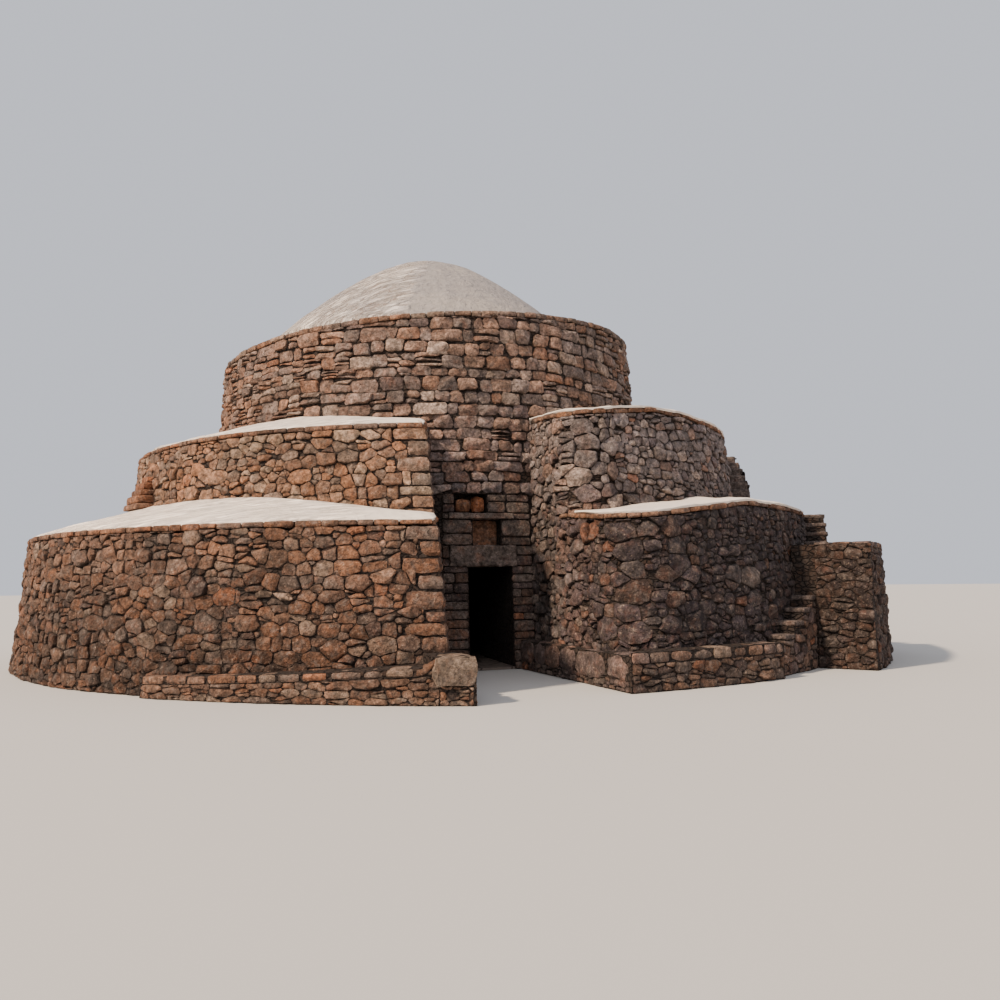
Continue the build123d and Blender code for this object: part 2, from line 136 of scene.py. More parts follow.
class StoneSizes(bpy.types.PropertyGroup):
    """Sizes of the stones that are laid in the walls."""

    seed: IntProperty(name="Seed", description="Start of the random choice of stones", default=7)
    stone_length: length("Stone length", "Usual length of a stone in the terraces", 0.26)
    stone_height: length("Stone height", "Usual height of a stone in the terraces", 0.17)
    drum_length: length("Drum stone length", "Usual length of a stone in the drum", 0.37)
    drum_height: length("Drum stone height", "Usual height of a stone in the drum", 0.235)
    joint: length("Joint", "Open joint between two stones", 0.008)
    relief: length("Relief", "How far a stone stands out from the wall behind it", 0.055)
    quoin_long: length("Long corner block", "Length of a corner block's long side", 0.5)
    quoin_short: length("Short corner block", "Length of a corner block's short side", 0.31)
    quoin_height: length("Corner block height", "Usual height of a corner block", 0.22)
    rim_length: length("Rim slab length", "Usual length of a rim slab", 0.32)
    rim_depth: length("Rim slab depth", "How far a rim slab reaches into the terrace", 0.34)
    rim_thickness: length("Rim slab thickness", "Thickness of the course of rim slabs", 0.115)
    plaster_lip: length("Plaster thickness", "Thickness of the plaster at the rim", 0.04)


class StoneColours(bpy.types.PropertyGroup):
    """Colours of stone, plaster and joints."""

    tan: colour("Tan", "Sun-bleached tan limestone", (0.33, 0.185, 0.118))
    ochre: colour("Ochre", "Warm ochre limestone", (0.31, 0.138, 0.07))
    brown: colour("Brown", "Brown limestone", (0.18, 0.1, 0.068))
    grey: colour("Grey", "Weathered grey-brown limestone", (0.175, 0.138, 0.118))
    pale: colour("Pale", "Pale limestone", (0.42, 0.305, 0.225))
    # Painted shade: a dark purplish tone that stands in for shade, mixed into the stones of the right side,
    # passage, doorway, stair and benches
    dusk: colour("Dusk", "Dark purplish limestone of the shaded side", (0.098, 0.07, 0.069))
    rust: colour("Rust", "Iron-stained stone", (0.38, 0.135, 0.058))
    joint: colour("Joint", "Earth in the open joints", (0.034, 0.022, 0.017))
    plaster: colour("Plaster", "Cream lime plaster", (0.96, 0.83, 0.7))
    # Grey of weathered plaster; lime_plaster also mixes it in as painted shade on the side away from the sun
    plaster_grey: colour("Grey plaster", "Weathered lime plaster", (0.6, 0.545, 0.52))
    floor: colour("Floor", "Pale studio floor", (0.46, 0.445, 0.425))


class StageSettings(bpy.types.PropertyGroup):
    """Camera and light."""

    lens: FloatProperty(name="Lens", description="Focal length in mm", default=30.6, unit="CAMERA")
    eye_height: length("Eye height", "Height of the camera over the ground", 1.63)
    eye_x: length("Eye X", "Sideways place of the camera", -3.9)
    eye_y: length("Eye Y", "Place of the camera in front of the house", -20.329)
    heading: turn_angle("Heading", "Turn of the view to the right", 15.5)
    pitch: turn_angle("Pitch", "Upward tilt of the view", 5.376)
    roll: turn_angle("Roll", "Lean of the frame", 0.7)


# Survey of the frame


class Survey:
    """Finds faces and heights on a group of the frame's solids."""

    def __init__(self, *names):
        corners = []
        faces = []
        for name in names:
            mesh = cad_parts[name].data
            first = len(corners)
            corners.extend(vertex.co.copy() for vertex in mesh.vertices)
            faces.extend([first + index for index in polygon.vertices] for polygon in mesh.polygons)
        self.tree = BVHTree.FromPolygons(corners, faces)

    def strike(self, start, direction):
        """Point and normal where a line from start first meets the solids."""
        point, normal, _, _ = self.tree.ray_cast(Vector(start), Vector(direction).normalized())
        if point is None:
            raise RuntimeError(f"nothing of the house lies from {start} along {direction}")
        return point, normal

    def drop(self, x, y, missing=None):
        """Height of the solids' top under a point."""
        point, _, _, _ = self.tree.ray_cast(Vector((x, y, FAR_AWAY)), Vector((0, 0, -1)))
        return missing if point is None else point.z


def outwards(bearing):
    """Direction in plan at a bearing from the front, in degrees towards the right."""
    angle = math.radians(bearing)
    return Vector((math.sin(angle), -math.cos(angle), 0))


def wall_distance(survey, bearing, height):
    """Distance of a wall's face from the axis at a bearing and a height."""
    direction = outwards(bearing)
    start = direction * FAR_AWAY + Vector((0, 0, height))
    point, _ = survey.strike(start, -direction)
    return math.hypot(point.x, point.y)


class RoundWall:
    """Radius at the ground, batter and sideways shift of a round wall, read off its solids."""

    def __init__(self, names, low, high):
        self.survey = Survey(*names)
        right = [wall_distance(self.survey, 180 - 87.5, height) for height in (low, high)]
        left = [wall_distance(self.survey, 180 + 87.5, height) for height in (low, high)]
        middle = [(a + b) / 2 for a, b in zip(left, right)]
        self.batter = (middle[0] - middle[1]) / (high - low)
        self.radius = middle[0] + self.batter * low
        self.shift = (right[0] - left[0]) / 2

    def point(self, bearing, height=0.0, out=0.0):
        reach = self.radius - self.batter * height + out
        return Vector((self.shift, 0, height)) + outwards(bearing) * reach


class FlatWall:
    """A leaning flat wall of the passage, read off the solids that it belongs to."""

    def __init__(self, survey, side, y, height):
        point, normal = survey.strike((0, y, height), (side, 0, 0))
        plan = Vector((normal.x, normal.y, 0))
        self.batter = normal.z / plan.length
        self.normal = plan.normalized()
        foot = Vector((point.x, point.y, 0)) + self.normal * self.batter * height
        self.along = Vector((-self.normal.y, self.normal.x, 0))
        self.foot = foot

    def at_y(self, y, height=0.0):
        """Point of the wall's face at a distance in front of the axis."""
        base = self.foot - self.normal * self.batter * height
        return base + self.along * ((y - base.y) / self.along.y) + Vector((0, 0, height))


def corner_of(round_wall, flat_wall, height):
    """Point where a passage wall and a round wall meet at a height."""
    point = flat_wall.at_y(-round_wall.radius, height)
    for _ in range(30):
        reach = round_wall.radius - round_wall.batter * height
        y = -math.sqrt(reach ** 2 - (point.x - round_wall.shift) ** 2)
        point = flat_wall.at_y(y, height)
    return point


# Faces of the walls


class Face:
    """Leaning wall face over a line in plan; each station holds x, y, its normal and its batter."""

    def __init__(self, stations):
        self.rows = np.array(stations, float)
        steps = np.hypot(np.diff(self.rows[:, 0]), np.diff(self.rows[:, 1]))
        self.marks = np.concatenate(([0.0], np.cumsum(steps)))
        self.length = float(self.marks[-1])

    def at(self, along, height, out):
        """Points of the face, by the way along it, the height and the distance in front of it."""
        x, y, nx, ny, batter = (np.interp(along, self.marks, self.rows[:, k]) for k in range(5))
        reach = out - batter * height
        return np.stack([x + nx * reach, y + ny * reach, height + 0 * reach], axis=-1)

    def mark_near(self, point):
        """Way along the face of the station nearest to a point."""
        away = np.hypot(self.rows[:, 0] - point.x, self.rows[:, 1] - point.y)
        return float(self.marks[int(np.argmin(away))])


def round_stations(wall, start, end, step=1.0):
    count = max(2, int(abs(end - start) / step) + 1)
    rows = []
    for bearing in np.linspace(start, end, count):
        point = wall.point(bearing)
        normal = outwards(bearing)
        rows.append((point.x, point.y, normal.x, normal.y, wall.batter))
    return rows


def flat_stations(wall, y_start, y_end, count=24):
    rows = []
    for y in np.linspace(y_start, y_end, count):
        point = wall.at_y(y)
        rows.append((point.x, point.y, wall.normal.x, wall.normal.y, wall.batter))
    return rows


def bearing_of(point, shift=0.0):
    return math.degrees(math.atan2(point.x - shift, -point.y))


def rounding_stations(round_wall, flat_wall, radius, count=14):
    """Stations round the corner that joins a passage wall to a round wall, and the bearing where it ends."""
    middle = Vector((round_wall.shift, 0, 0))
    inside = flat_wall.foot - flat_wall.normal * radius - middle
    forwards = flat_wall.along if flat_wall.along.y < 0 else -flat_wall.along
    way = inside.dot(forwards)
    reach = round_wall.radius - radius
    centre = middle + inside + forwards * (math.sqrt(way ** 2 - inside.length_squared + reach ** 2) - way)
    start = bearing_of(flat_wall.normal)
    end = bearing_of(centre, round_wall.shift)
    rows = []
    for part in np.linspace(0, 1, count):
        normal = outwards(start + (end - start) * part)
        point = centre + normal * radius
        batter = flat_wall.batter + (round_wall.batter - flat_wall.batter) * part
        rows.append((point.x, point.y, normal.x, normal.y, batter))
    return rows, end


# Meshes from laid stones


class Heap:
    """Collects the stones of one piece: corners, faces, and the tint and depth of each corner."""

    def __init__(self, plain=False):
        self.plain = plain
        self.corners = []
        self.faces = []
        self.tints = []
        self.depths = []
        self.count = 0

    def add(self, corners, faces, tint, depths):
        corners = np.asarray(corners, float)
        self.corners.append(corners)
        self.faces.extend([tuple(index + self.count for index in face) for face in faces])
        self.tints.append(np.tile(np.append(tint, 1.0), (len(corners), 1)))
        self.depths.append(np.asarray(depths, float))
        self.count += len(corners)

    def piece(self, name, slot, replaced=()):
        """Makes the object, which rides on the house."""
        mesh = bpy.data.meshes.new(name)
        mesh.from_pydata(np.concatenate(self.corners).tolist(), [], self.faces)
        mesh.polygons.foreach_set("use_smooth", np.ones(len(mesh.polygons), bool))
        mark_corners(mesh, np.concatenate(self.tints), np.concatenate(self.depths))
        mesh.validate()
        mesh.update()
        piece = add_object(name, mesh)
        bpy.ops.object.shade_smooth_by_angle(angle=math.radians(32))
        settle(piece, "field_stone", replaced)


def mark_corners(mesh, tints, depths):
    """Stores the tint and the depth of each corner, which the stone's material reads."""
    tint = mesh.color_attributes.new("tint", "FLOAT_COLOR", "POINT")
    tint.data.foreach_set("color", tints.astype(np.float32).ravel())
    depth = mesh.attributes.new("depth", "FLOAT", "POINT")
    depth.data.foreach_set("value", depths.astype(np.float32))


def deselect():
    if bpy.context.object and bpy.context.object.mode != "OBJECT":
        bpy.ops.object.mode_set(mode="OBJECT")
    bpy.ops.object.select_all(action="DESELECT")


def add_object(name, data):
    """Adds an object to the scene and makes it the only one selected."""
    made = bpy.data.objects.new(name, data)
    bpy.context.scene.collection.objects.link(made)
    deselect()
    bpy.context.view_layer.objects.active = made
    made.select_set(True)
    return made


def edit_all(*steps):
    """Runs steps on all corners of the active mesh, in edit mode."""
    bpy.ops.object.mode_set(mode="EDIT")
    bpy.ops.mesh.select_all(action="SELECT")
    for step in steps:
        step()
    bpy.ops.object.mode_set(mode="OBJECT")


def apply_modifiers(piece):
    for modifier in list(piece.modifiers):
        bpy.ops.object.modifier_apply(modifier=modifier.name)


def face_up(mesh):
    """Turns a roof's faces upwards if they look down."""
    if np.mean([polygon.normal.z for polygon in mesh.polygons]) < 0:
        mesh.flip_normals()


def settle(piece, material, replaced):
    """Gives a finished piece its material and its place on the house."""
    piece.data.materials.clear()
    piece.data.materials.append(MATERIALS[material])
    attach(piece, "root")
    if replaced:
        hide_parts(*replaced)


def clip(outline, point, normal):
    """The part of a convex outline that lies behind a line."""
    sides = [(x - point[0]) * normal[0] + (y - point[1]) * normal[1] for x, y in outline]
    kept = []
    for index, here in enumerate(outline):
        there = outline[(index + 1) % len(outline)]
        a = sides[index]
        b = sides[(index + 1) % len(outline)]
        if a <= 0:
            kept.append(here)
        if (a < 0 < b) or (b < 0 < a):
            part = a / (a - b)
            kept.append((here[0] + (there[0] - here[0]) * part, here[1] + (there[1] - here[1]) * part))
    return kept


def outline_area(outline):
    x = np.array([p[0] for p in outline])
    y = np.array([p[1] for p in outline])
    return 0.5 * float(np.sum(x * np.roll(y, -1) - np.roll(x, -1) * y))


def chip_edges(outline, rng, least, corner):
    """Roughens an outline: cuts its corners, bends its long edges and drops points that nearly meet."""
    rough = []
    for index, here in enumerate(outline):
        there = outline[(index + 1) % len(outline)]
        side = math.dist(here, there)
        if side < least:
            rough.append(here)
            continue
        first = min(0.32, rng.uniform(*corner) / side)
        last = 1 - min(0.32, rng.uniform(*corner) / side)
        shares = [first, rng.uniform(0.4, 0.6), last] if side > 0.11 else [first, last]
        for part in shares:
            bend = rng.normal(0, 0.004) - (0.004 if 0.35 < part < 0.65 else 0)
            x = here[0] + (there[0] - here[0]) * part + (there[1] - here[1]) / side * bend
            z = here[1] + (there[1] - here[1]) * part - (there[0] - here[0]) / side * bend
            rough.append((x, z))
    kept = [rough[0]]
    for point in rough[1:]:
        if math.dist(point, kept[-1]) > least:
            kept.append(point)
    if len(kept) > 3 and math.dist(kept[0], kept[-1]) < least:
        kept.pop()
    return kept


class Bond:
    """How the stones of a wall are sized and laid."""

    def __init__(
        self, long, high, waver=0.13, swing=0.04, spread=0.36, chips=0.16, splits=0.3, bosses=0.03, boss=None,
        coursed=False, placed=(),
    ):
        self.boss = boss or (long * 1.35, high * 1.6)
        self.coursed = coursed
        self.corner = (0.025, 0.075) if coursed else (0.012, 0.04)
        self.placed = placed
        self.long = long
        self.high = high
        self.waver = waver
        self.swing = swing
        self.spread = spread
        self.chips = chips
        self.splits = steady(splits)
        self.bosses = bosses
        self.aspect = max(1.0, long / high * 0.92)


def steady(value):
    """A function of the place on a wall, also for a value that stays the same."""
    return value if callable(value) else lambda *_: value


def scatter(rng, bond, u_low, u_high, z_low, z_high):
    """Middles and sizes of stones laid in rough courses, with flat pairs, chips and a few big stones."""
    seeds = []
    phases = rng.uniform(0, 6.28, 2)
    z = z_low - bond.high * rng.uniform(0.1, 0.6)
    while z < z_high + bond.high * 0.5:
        row = bond.high * rng.uniform(0.75, 1.3)
        u = u_low - bond.long * rng.random()
        while u < u_high + bond.long:
            wide = bond.long * float(np.clip(rng.lognormal(0, bond.spread), 0.5, 2.1))
            swing = bond.swing * (math.sin(u * 1.1 + phases[0]) + math.sin(u * 2.3 + z * 1.7 + phases[1]))
            bed = z + swing
            if rng.random() < bond.splits(u):
                lower = rng.uniform(0.35, 0.65)
                slip = rng.normal(0, 0.12, 2) * wide
                lower_u, upper_u = u + wide * 0.5 + slip
                seeds.append((lower_u, bed + row * lower * 0.5, wide, row * lower))
                seeds.append((upper_u, bed + row * (1 + lower) * 0.5, wide, row * (1 - lower)))
            else:
                middle = bed + row * 0.5 + rng.normal() * bond.waver * row
                seeds.append((u + wide * 0.5, middle, wide, row))
            if rng.random() < bond.chips:
                chip = rng.uniform(0.3, 0.5) * row
                seeds.append((u + wide, bed + row * rng.uniform(0.85, 1.1), chip * 1.3, chip))
            u += wide
        z += row
    loose = len(seeds)
    seeds = np.array(seeds + list(bond.placed))
    kept = np.ones(len(seeds), bool)
    for index in range(loose, len(seeds)):
        away = np.abs(seeds[:loose, :2] - seeds[index, :2]) / (seeds[index, 2:] * 0.62)
        kept[:loose] &= np.hypot(away[:, 0], away[:, 1]) > 1
    for index in rng.permutation(loose):
        if kept[index] and rng.random() < bond.bosses:
            seeds[index, 2] = bond.boss[0] * rng.uniform(0.85, 1.15)
            seeds[index, 3] = bond.boss[1] * rng.uniform(0.85, 1.15)
            away = np.abs(seeds[:, :2] - seeds[index, :2]) / (seeds[index, 2:] * 0.6)
            near = np.hypot(away[:, 0], away[:, 1]) < 1
            near[index] = False
            near[loose:] = False
            kept[near] = False
    return [tuple(seed) for seed in seeds[kept]]


def within(outline, lines):
    """The part of an outline inside all lines, or None if too little is left for a stone."""
    for point, normal in lines:
        outline = clip(outline, point, normal)
        if len(outline) < 3:
            return None
    return outline if outline_area(outline) >= SMALLEST_STONE else None


def cells(bond, seeds, joint, limits):
    """Outline of each stone that fits between its neighbours and inside the wall's limits."""
    tree = KDTree(len(seeds))
    for index, (u, z, _, _) in enumerate(seeds):
        tree.insert((u, z * bond.aspect, 0), index)
    tree.balance()
    weights = [0.25 * wide * row * bond.aspect for _, _, wide, row in seeds]
    for index, (u, z, wide, row) in enumerate(seeds):
        here = (u, z * bond.aspect)
        reach = max(wide, row * bond.aspect) * 1.1
        across = wide * 0.68
        up = row * bond.aspect * 0.61
        outline = [(u - across, here[1] - up), (u + across, here[1] - up)]
        outline += [(u + across, here[1] + up), (u - across, here[1] + up)]
        for place, other, gap in tree.find_n((here[0], here[1], 0), 30):
            if other == index or gap < 1e-6:
                continue
            way = (gap * gap + weights[index] - weights[other]) / (2 * gap) - joint * 0.5
            if way > reach * 1.5:
                continue
            normal = ((place[0] - here[0]) / gap, (place[1] - here[1]) / gap)
            outline = clip(outline, (here[0] + normal[0] * way, here[1] + normal[1] * way), normal)
            if len(outline) < 3:
                break
        if len(outline) < 3:
            continue
        outline = [(x, y / bond.aspect) for x, y in outline]
        outline = within(outline, limits(u, z))
        if outline:
            yield outline


def courses(rng, bond, u_low, u_high, z_low, z_high, limits):
    """Outlines of squared stones laid in level courses, some of them split into flat ones."""
    phases = rng.uniform(0, math.tau, 2)

    def bed(u, z):
        return z + bond.swing * (math.sin(u * 1.1 + phases[0]) + math.sin(u * 2.3 + z * 1.7 + phases[1]))

    z = z_low - bond.high * rng.uniform(0.1, 0.6)
    while z < z_high:
        row = bond.high * rng.uniform(0.78, 1.22)
        u = u_low - bond.long * rng.random()
        while u < u_high:
            wide = bond.long * float(np.clip(rng.lognormal(0, bond.spread), 0.45, 1.9))
            cuts = [0.0, 1.0]
            if rng.random() < bond.splits(u):
                middle = rng.uniform(0.35, 0.65)
                cuts = [0.0, middle, 1.0] if rng.random() < 0.7 else [0.0, 0.33, 0.66, 1.0]
            for below, above in zip(cuts, cuts[1:]):
                slip = rng.normal(0, 0.02, 8)
                start = u + 0.004 + slip[0]
                end = u + wide - 0.004 + slip[1]
                base = bed(u + wide / 2, z + row * below) + 0.004 + row * rng.uniform(-0.04, 0.07)
                top = bed(u + wide / 2, z + row * above) - 0.004 + row * rng.uniform(-0.07, 0.04)
                outline = [
                    (start + slip[2], base + slip[3] * 0.6), (end + slip[4], base + slip[5] * 0.6),
                    (end - slip[4], top + slip[6] * 0.6), (start - slip[2], top + slip[7] * 0.6),
                ]
                outline = within(outline, limits((start + end) / 2, (base + top) / 2))
                if outline:
                    yield outline
            u += wide
        z += row


# Rings of a stone from its foot to its brow: inset in metres, share of its height, and depth, which the
# material turns into painted shade towards the stone's foot and the joints
RINGS = ((0.0, -0.35, 0.0), (0.0, 0.34, 0.4), (0.009, 0.72, 0.8), (0.032, 0.93, 1.0))


def rough_noise(points, scale, offset):
    across, up, seed = offset
    return np.array([noise.noise(Vector((x * scale + across, z * scale + up, seed))) for x, z in points])


def lay_stone(heap, face, outline, relief, tint, rng, corner):
    """Adds one stone to a heap: a craggy boss over its outline, a little tilted and uneven."""
    outline = np.array(chip_edges(outline, rng, 0.016, corner))
    count = len(outline)
    if count < 4:
        return
    middle = outline.mean(axis=0)
    away = outline - middle
    size = np.hypot(away[:, 0], away[:, 1])
    high = relief * rng.uniform(0.5, 1.3) * float(np.clip(size.max() / 0.15, 0.7, 1.5))
    lean = rng.normal(0, 0.1, 2)
    offset = rng.uniform(0, 50, 3)
    rings = []
    for inset, lift, depth in RINGS[:2] + RINGS[3:] if heap.plain else RINGS:
        scale = np.maximum(1 - inset / np.maximum(size, 0.02), 0.35)
        rings.append((middle + away * scale[:, None], lift, depth))
    if size.max() > 0.09 and not heap.plain:
        rings.append((middle + away * rng.uniform(0.42, 0.58), 1.04, 1.0))
    points = np.concatenate([ring for ring, _, _ in rings] + [middle[None, :]])
    crest = high * rng.uniform(0.95, 1.25)
    outs = np.concatenate([np.full(count, lift * high) for _, lift, _ in rings] + [[crest]])
    depths = np.concatenate([np.full(count, depth) for _, _, depth in rings] + [[1.0]])
    lump = rough_noise(points, 9, offset)
    crag = rough_noise(points, 24, offset[::-1])
    raised = depths > 0.3
    outs = outs + np.where(raised, (points - middle) @ lean + lump * 0.024 + crag * 0.013, 0)
    facets = (rng.uniform(0, math.tau, 3), rng.uniform(0.2, 0.6, 3), rng.uniform(0.95, 1.2, 3))
    for turn, slope, top in zip(*facets):
        facet = high * top - slope * ((points - middle) @ (math.cos(turn), math.sin(turn)))
        outs = np.where(raised, np.minimum(outs, facet), outs)
    outs = np.where(raised, np.clip(outs, 0.008, 0.105), outs)
    points = points + np.stack([crag, lump], axis=-1) * 0.007 * raised[:, None]
    faces = []
    for ring in range(len(rings) - 1):
        for index in range(count):
            a = ring * count + index
            b = ring * count + (index + 1) % count
            faces.append((a, b, b + count, a + count))
    last = (len(rings) - 1) * count
    top = len(rings) * count
    for index in range(count):
        faces.append((last + index, last + (index + 1) % count, top))
    heap.add(face.at(points[:, 0], points[:, 1], outs), faces, tint, depths)


def mixed_tint(rng, palette):
    """One stone's colour, from weighted colours and a little lighter or darker."""
    own_share, spread = 0.62, 0.15
    weights = np.array([weight for weight, _ in palette])
    weights = weights / weights.sum()
    tones = np.array([tuple(tone) for _, tone in palette])
    own = tones[rng.choice(len(palette), p=weights)]
    mixed = own * own_share + weights @ tones * (1 - own_share)
    return np.clip(mixed * (1 + rng.normal(0, spread)), 0.01, 0.95)


def field(
    heap, face, bond, rng, low, high, palette, span=None, left=None, right=None, relief=None, grade=1.0,
):
    """Lays stones over a stretch of a face, between the heights low(u) and high(u) and its two ends.

    The stones go to one heap, or to the heap that heap(u) names; grade(u, z) scales their colours by place,
    mostly with painted shade and painted light.
    Heights, palette and grade may also be fixed values.
    """
    sizes, _ = settings()
    span = span or (0, face.length)
    heap, low, high, palette, grade = (steady(value) for value in (heap, low, high, palette, grade))
    marks = np.linspace(span[0], span[1], 60)
    lowest = min(low(u) for u in marks)
    highest = max(high(u) for u in marks)
    gap = sizes.joint * 0.5
    step = 0.1

    def slope(line, u):
        return float(np.clip((line(u + step) - line(u - step)) / (2 * step), -0.3, 0.3))

    def limits(u, z):
        start = span[0] if left is None else left(z)
        end = span[1] if right is None else right(z)
        return [
            ((u, high(u) - gap), (-slope(high, u), 1.0)),
            ((u, low(u) + gap), (slope(low, u), -1.0)),
            ((start + gap, z), (-1.0, 0.0)),
            ((end - gap, z), (1.0, 0.0)),
        ]

    if bond.coursed:
        outlines = courses(rng, bond, span[0], span[1], lowest, highest, limits)
    else:
        seeds = scatter(rng, bond, span[0], span[1], lowest, highest)
        seeds = [s for s in seeds if low(s[0]) - s[3] < s[1] < high(s[0]) + s[3]]
        outlines = cells(bond, seeds, sizes.joint, limits)
    for outline in outlines:
        u, z = (float(mean) for mean in np.mean(outline, axis=0))
        tint = mixed_tint(rng, palette(u)) * grade(u, z)
        lay_stone(heap(u), face, outline, relief or sizes.relief, tint, rng, bond.corner)


# Rough blocks


BLOCKS = {}


def shape_block(name, roundness):
    """A rough block of unit size, modelled once; its corners and faces serve for every copy."""
    deselect()
    bpy.ops.mesh.primitive_cube_add(size=2)
    block = bpy.context.object
    edit_all(
        lambda: bpy.ops.mesh.subdivide(number_cuts=3),
        lambda: bpy.ops.transform.tosphere(value=roundness),
        lambda: bpy.ops.mesh.vertices_smooth(factor=0.5, repeat=1),
    )
    corners = np.array([vertex.co for vertex in block.data.vertices])
    corners = corners / np.abs(corners).max(axis=0)
    faces = [tuple(polygon.vertices) for polygon in block.data.polygons]
    bpy.data.objects.remove(block)
    BLOCKS[name] = (corners, faces)


def lay_block(heap, shape, place, tint, rng, rough):
    """Adds a copy of a rough block; place turns three shares from 0 to 1 into a point."""
    corners, faces = BLOCKS[shape]
    shares = (corners + 1) / 2
    offset = rng.uniform(0, 50, 3)
    points = np.array([place(a, b, c) for a, b, c in shares])
    middle = points.mean(axis=0)
    push = points - middle
    push = push / np.maximum(np.linalg.norm(push, axis=1), 1e-6)[:, None]
    uneven = np.array([
        noise.noise(Vector(p * 7 + offset)) + 0.5 * noise.noise(Vector(p * 19 + offset)) for p in points
    ])
    points = points + push * (uneven * rough)[:, None]
    edge = np.abs(corners).copy()
    edge.sort(axis=1)
    # Painted shade: corners near the block's edges get less depth, so the material darkens the edges
    depths = np.clip(1.25 - 0.55 * np.clip((edge[:, 1] - 0.72) / 0.28, 0, 1), 0, 1)
    heap.add(points, faces, tint, depths)


def between(low, high):
    """Place for a block that stands square between two corners."""
    low = np.array(low, float)
    high = np.array(high, float)
    return lambda a, b, c: low + (high - low) * np.array([a, b, c])


def on_face(face, u_low, u_high, z_low, z_high, out_low, out_high):
    """Place for a block on a wall's face; heights are numbers, or functions of the way along it."""
    z_low, z_high = steady(z_low), steady(z_high)

    def place(a, b, c):
        u = u_low + (u_high - u_low) * a
        bottom = z_low(u)
        return face.at(u, bottom + (z_high(u) - bottom) * c, out_high + (out_low - out_high) * b)

    return place


def wear_stone(node, voxel, rough, tint):
    """Puts a worn stone in place of a solid: its edges are softened and its faces made uneven."""
    name = node + "_worn"
    piece = add_object(name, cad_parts[node].data.copy())
    edit_all(lambda: bpy.ops.mesh.remove_doubles(threshold=0.0005))
    remesh = piece.modifiers.new("even_faces", "REMESH")
    remesh.mode = "VOXEL"
    remesh.voxel_size = voxel
    smooth = piece.modifiers.new("worn_edges", "SMOOTH")
    smooth.factor = 0.5
    smooth.iterations = 6
    for size, strength in ((0.22, rough), (0.06, rough * 0.45)):
        grain = bpy.data.textures.new(name + "_grain", "CLOUDS")
        grain.noise_scale = size
        grain.noise_depth = 3
        dent = piece.modifiers.new("dents", "DISPLACE")
        dent.texture = grain
        dent.texture_coords = "LOCAL"
        dent.mid_level = 0.5
        dent.strength = strength
    apply_modifiers(piece)
    bpy.ops.object.shade_smooth()
    count = len(piece.data.vertices)
    mark_corners(piece.data, np.tile(np.append(tint, 1.0), count), np.ones(count))
    settle(piece, "field_stone", [node])


# Materials


class Value:
    """A number that varies over a surface; arithmetic on it adds Math nodes."""

    def __init__(self, finish, socket):
        self.finish = finish
        self.socket = socket

    def combined(self, operation, first, second):
        return self.finish.value("Math", 0, {0: first, 1: second}, operation=operation)

    def __add__(self, other):
        return self.combined("ADD", self, other)

    def __radd__(self, other):
        return self.combined("ADD", other, self)

    def __sub__(self, other):
        return self.combined("SUBTRACT", self, other)

    def __rsub__(self, other):
        return self.combined("SUBTRACT", other, self)

    def __mul__(self, other):
        return self.combined("MULTIPLY", self, other)

    def __pow__(self, other):
        return self.combined("POWER", self, other)


class Finish:
    """A material under construction; it registers itself under its name."""

    def __init__(self, name, roughness):
        self.material = bpy.data.materials.new(name)
        MATERIALS[name] = self.material
        self.material.use_nodes = True
        self.tree = self.material.node_tree
        self.shader = self.tree.nodes["Principled BSDF"]
        self.shader.inputs["Roughness"].default_value = roughness
        self.shader.inputs["Specular IOR Level"].default_value = 0.25
        self.place = self.node("TexCoord").outputs["Object"]

    def node(self, kind, inputs=None, **settings):
        """Adds a shader node with its settings, then the values or links of its sockets."""
        made = self.tree.nodes.new("ShaderNode" + kind)
        for name, value in settings.items():
            setattr(made, name, value)
        for key, value in (inputs or {}).items():
            self.plug(made.inputs[key], value)
        return made

    def value(self, kind, output, inputs=None, **settings):
        return Value(self, self.node(kind, inputs, **settings).outputs[output])

    def plug(self, socket, value):
        if isinstance(value, Value):
            value = value.socket
        if isinstance(value, bpy.types.NodeSocket):
            self.tree.links.new(value, socket)
        elif hasattr(value, "__len__") and len(value) == 3 and socket.type == "RGBA":
            socket.default_value = (*value, 1.0)
        else:
            socket.default_value = value

    def noise(self, scale, detail=3.0, roughness=0.55, place=None, distortion=0.0):
        return self.value("TexNoise", "Fac", {
            "Vector": place or self.place, "Scale": scale, "Detail": detail,
            "Roughness": roughness, "Distortion": distortion,
        })

    def pattern(self, feature, scale, place=None, **more):
        """Distances in a pattern of irregular patches."""
        inputs = {"Vector": place or self.place, "Scale": scale, **more}
        return self.value("TexVoronoi", "Distance", inputs, feature=feature)

    def stretched(self, turn, scale):
        """The surface's place, turned and stretched."""
        inputs = {"Vector": self.place, "Rotation": turn, "Scale": scale}
        return self.node("Mapping", inputs).outputs["Vector"]

    def spread(self, value, low, high, bottom=0.0, top=1.0):
        """Stretches part of a value's range."""
        inputs = {"Value": value, "From Min": low, "From Max": high, "To Min": bottom, "To Max": top}
        return self.value("MapRange", "Result", inputs, clamp=True)

    def blend(self, factor, first, second, how="MIX"):
        inputs = {0: factor, 6: first, 7: second}
        return self.node("Mix", inputs, data_type="RGBA", blend_type=how).outputs[2]

    def shade(self, tone, value):
        """Multiplies a colour by a number."""
        grey = self.node("CombineColor", {"Red": value, "Green": value, "Blue": value})
        return self.blend(1.0, tone, grey.outputs[0], "MULTIPLY")

    def bump(self, height, strength, distance, under=None):
        inputs = {"Height": height, "Strength": strength, "Distance": distance}
        if under is not None:
            inputs["Normal"] = under
        return self.node("Bump", inputs).outputs["Normal"]

    def done(self, tone, normal=None, roughness=None):
        parts = {"Base Color": tone, "Normal": normal, "Roughness": roughness}
        for name, value in parts.items():
            if value is not None:
                self.plug(self.shader.inputs[name], value)


MATERIALS = {}


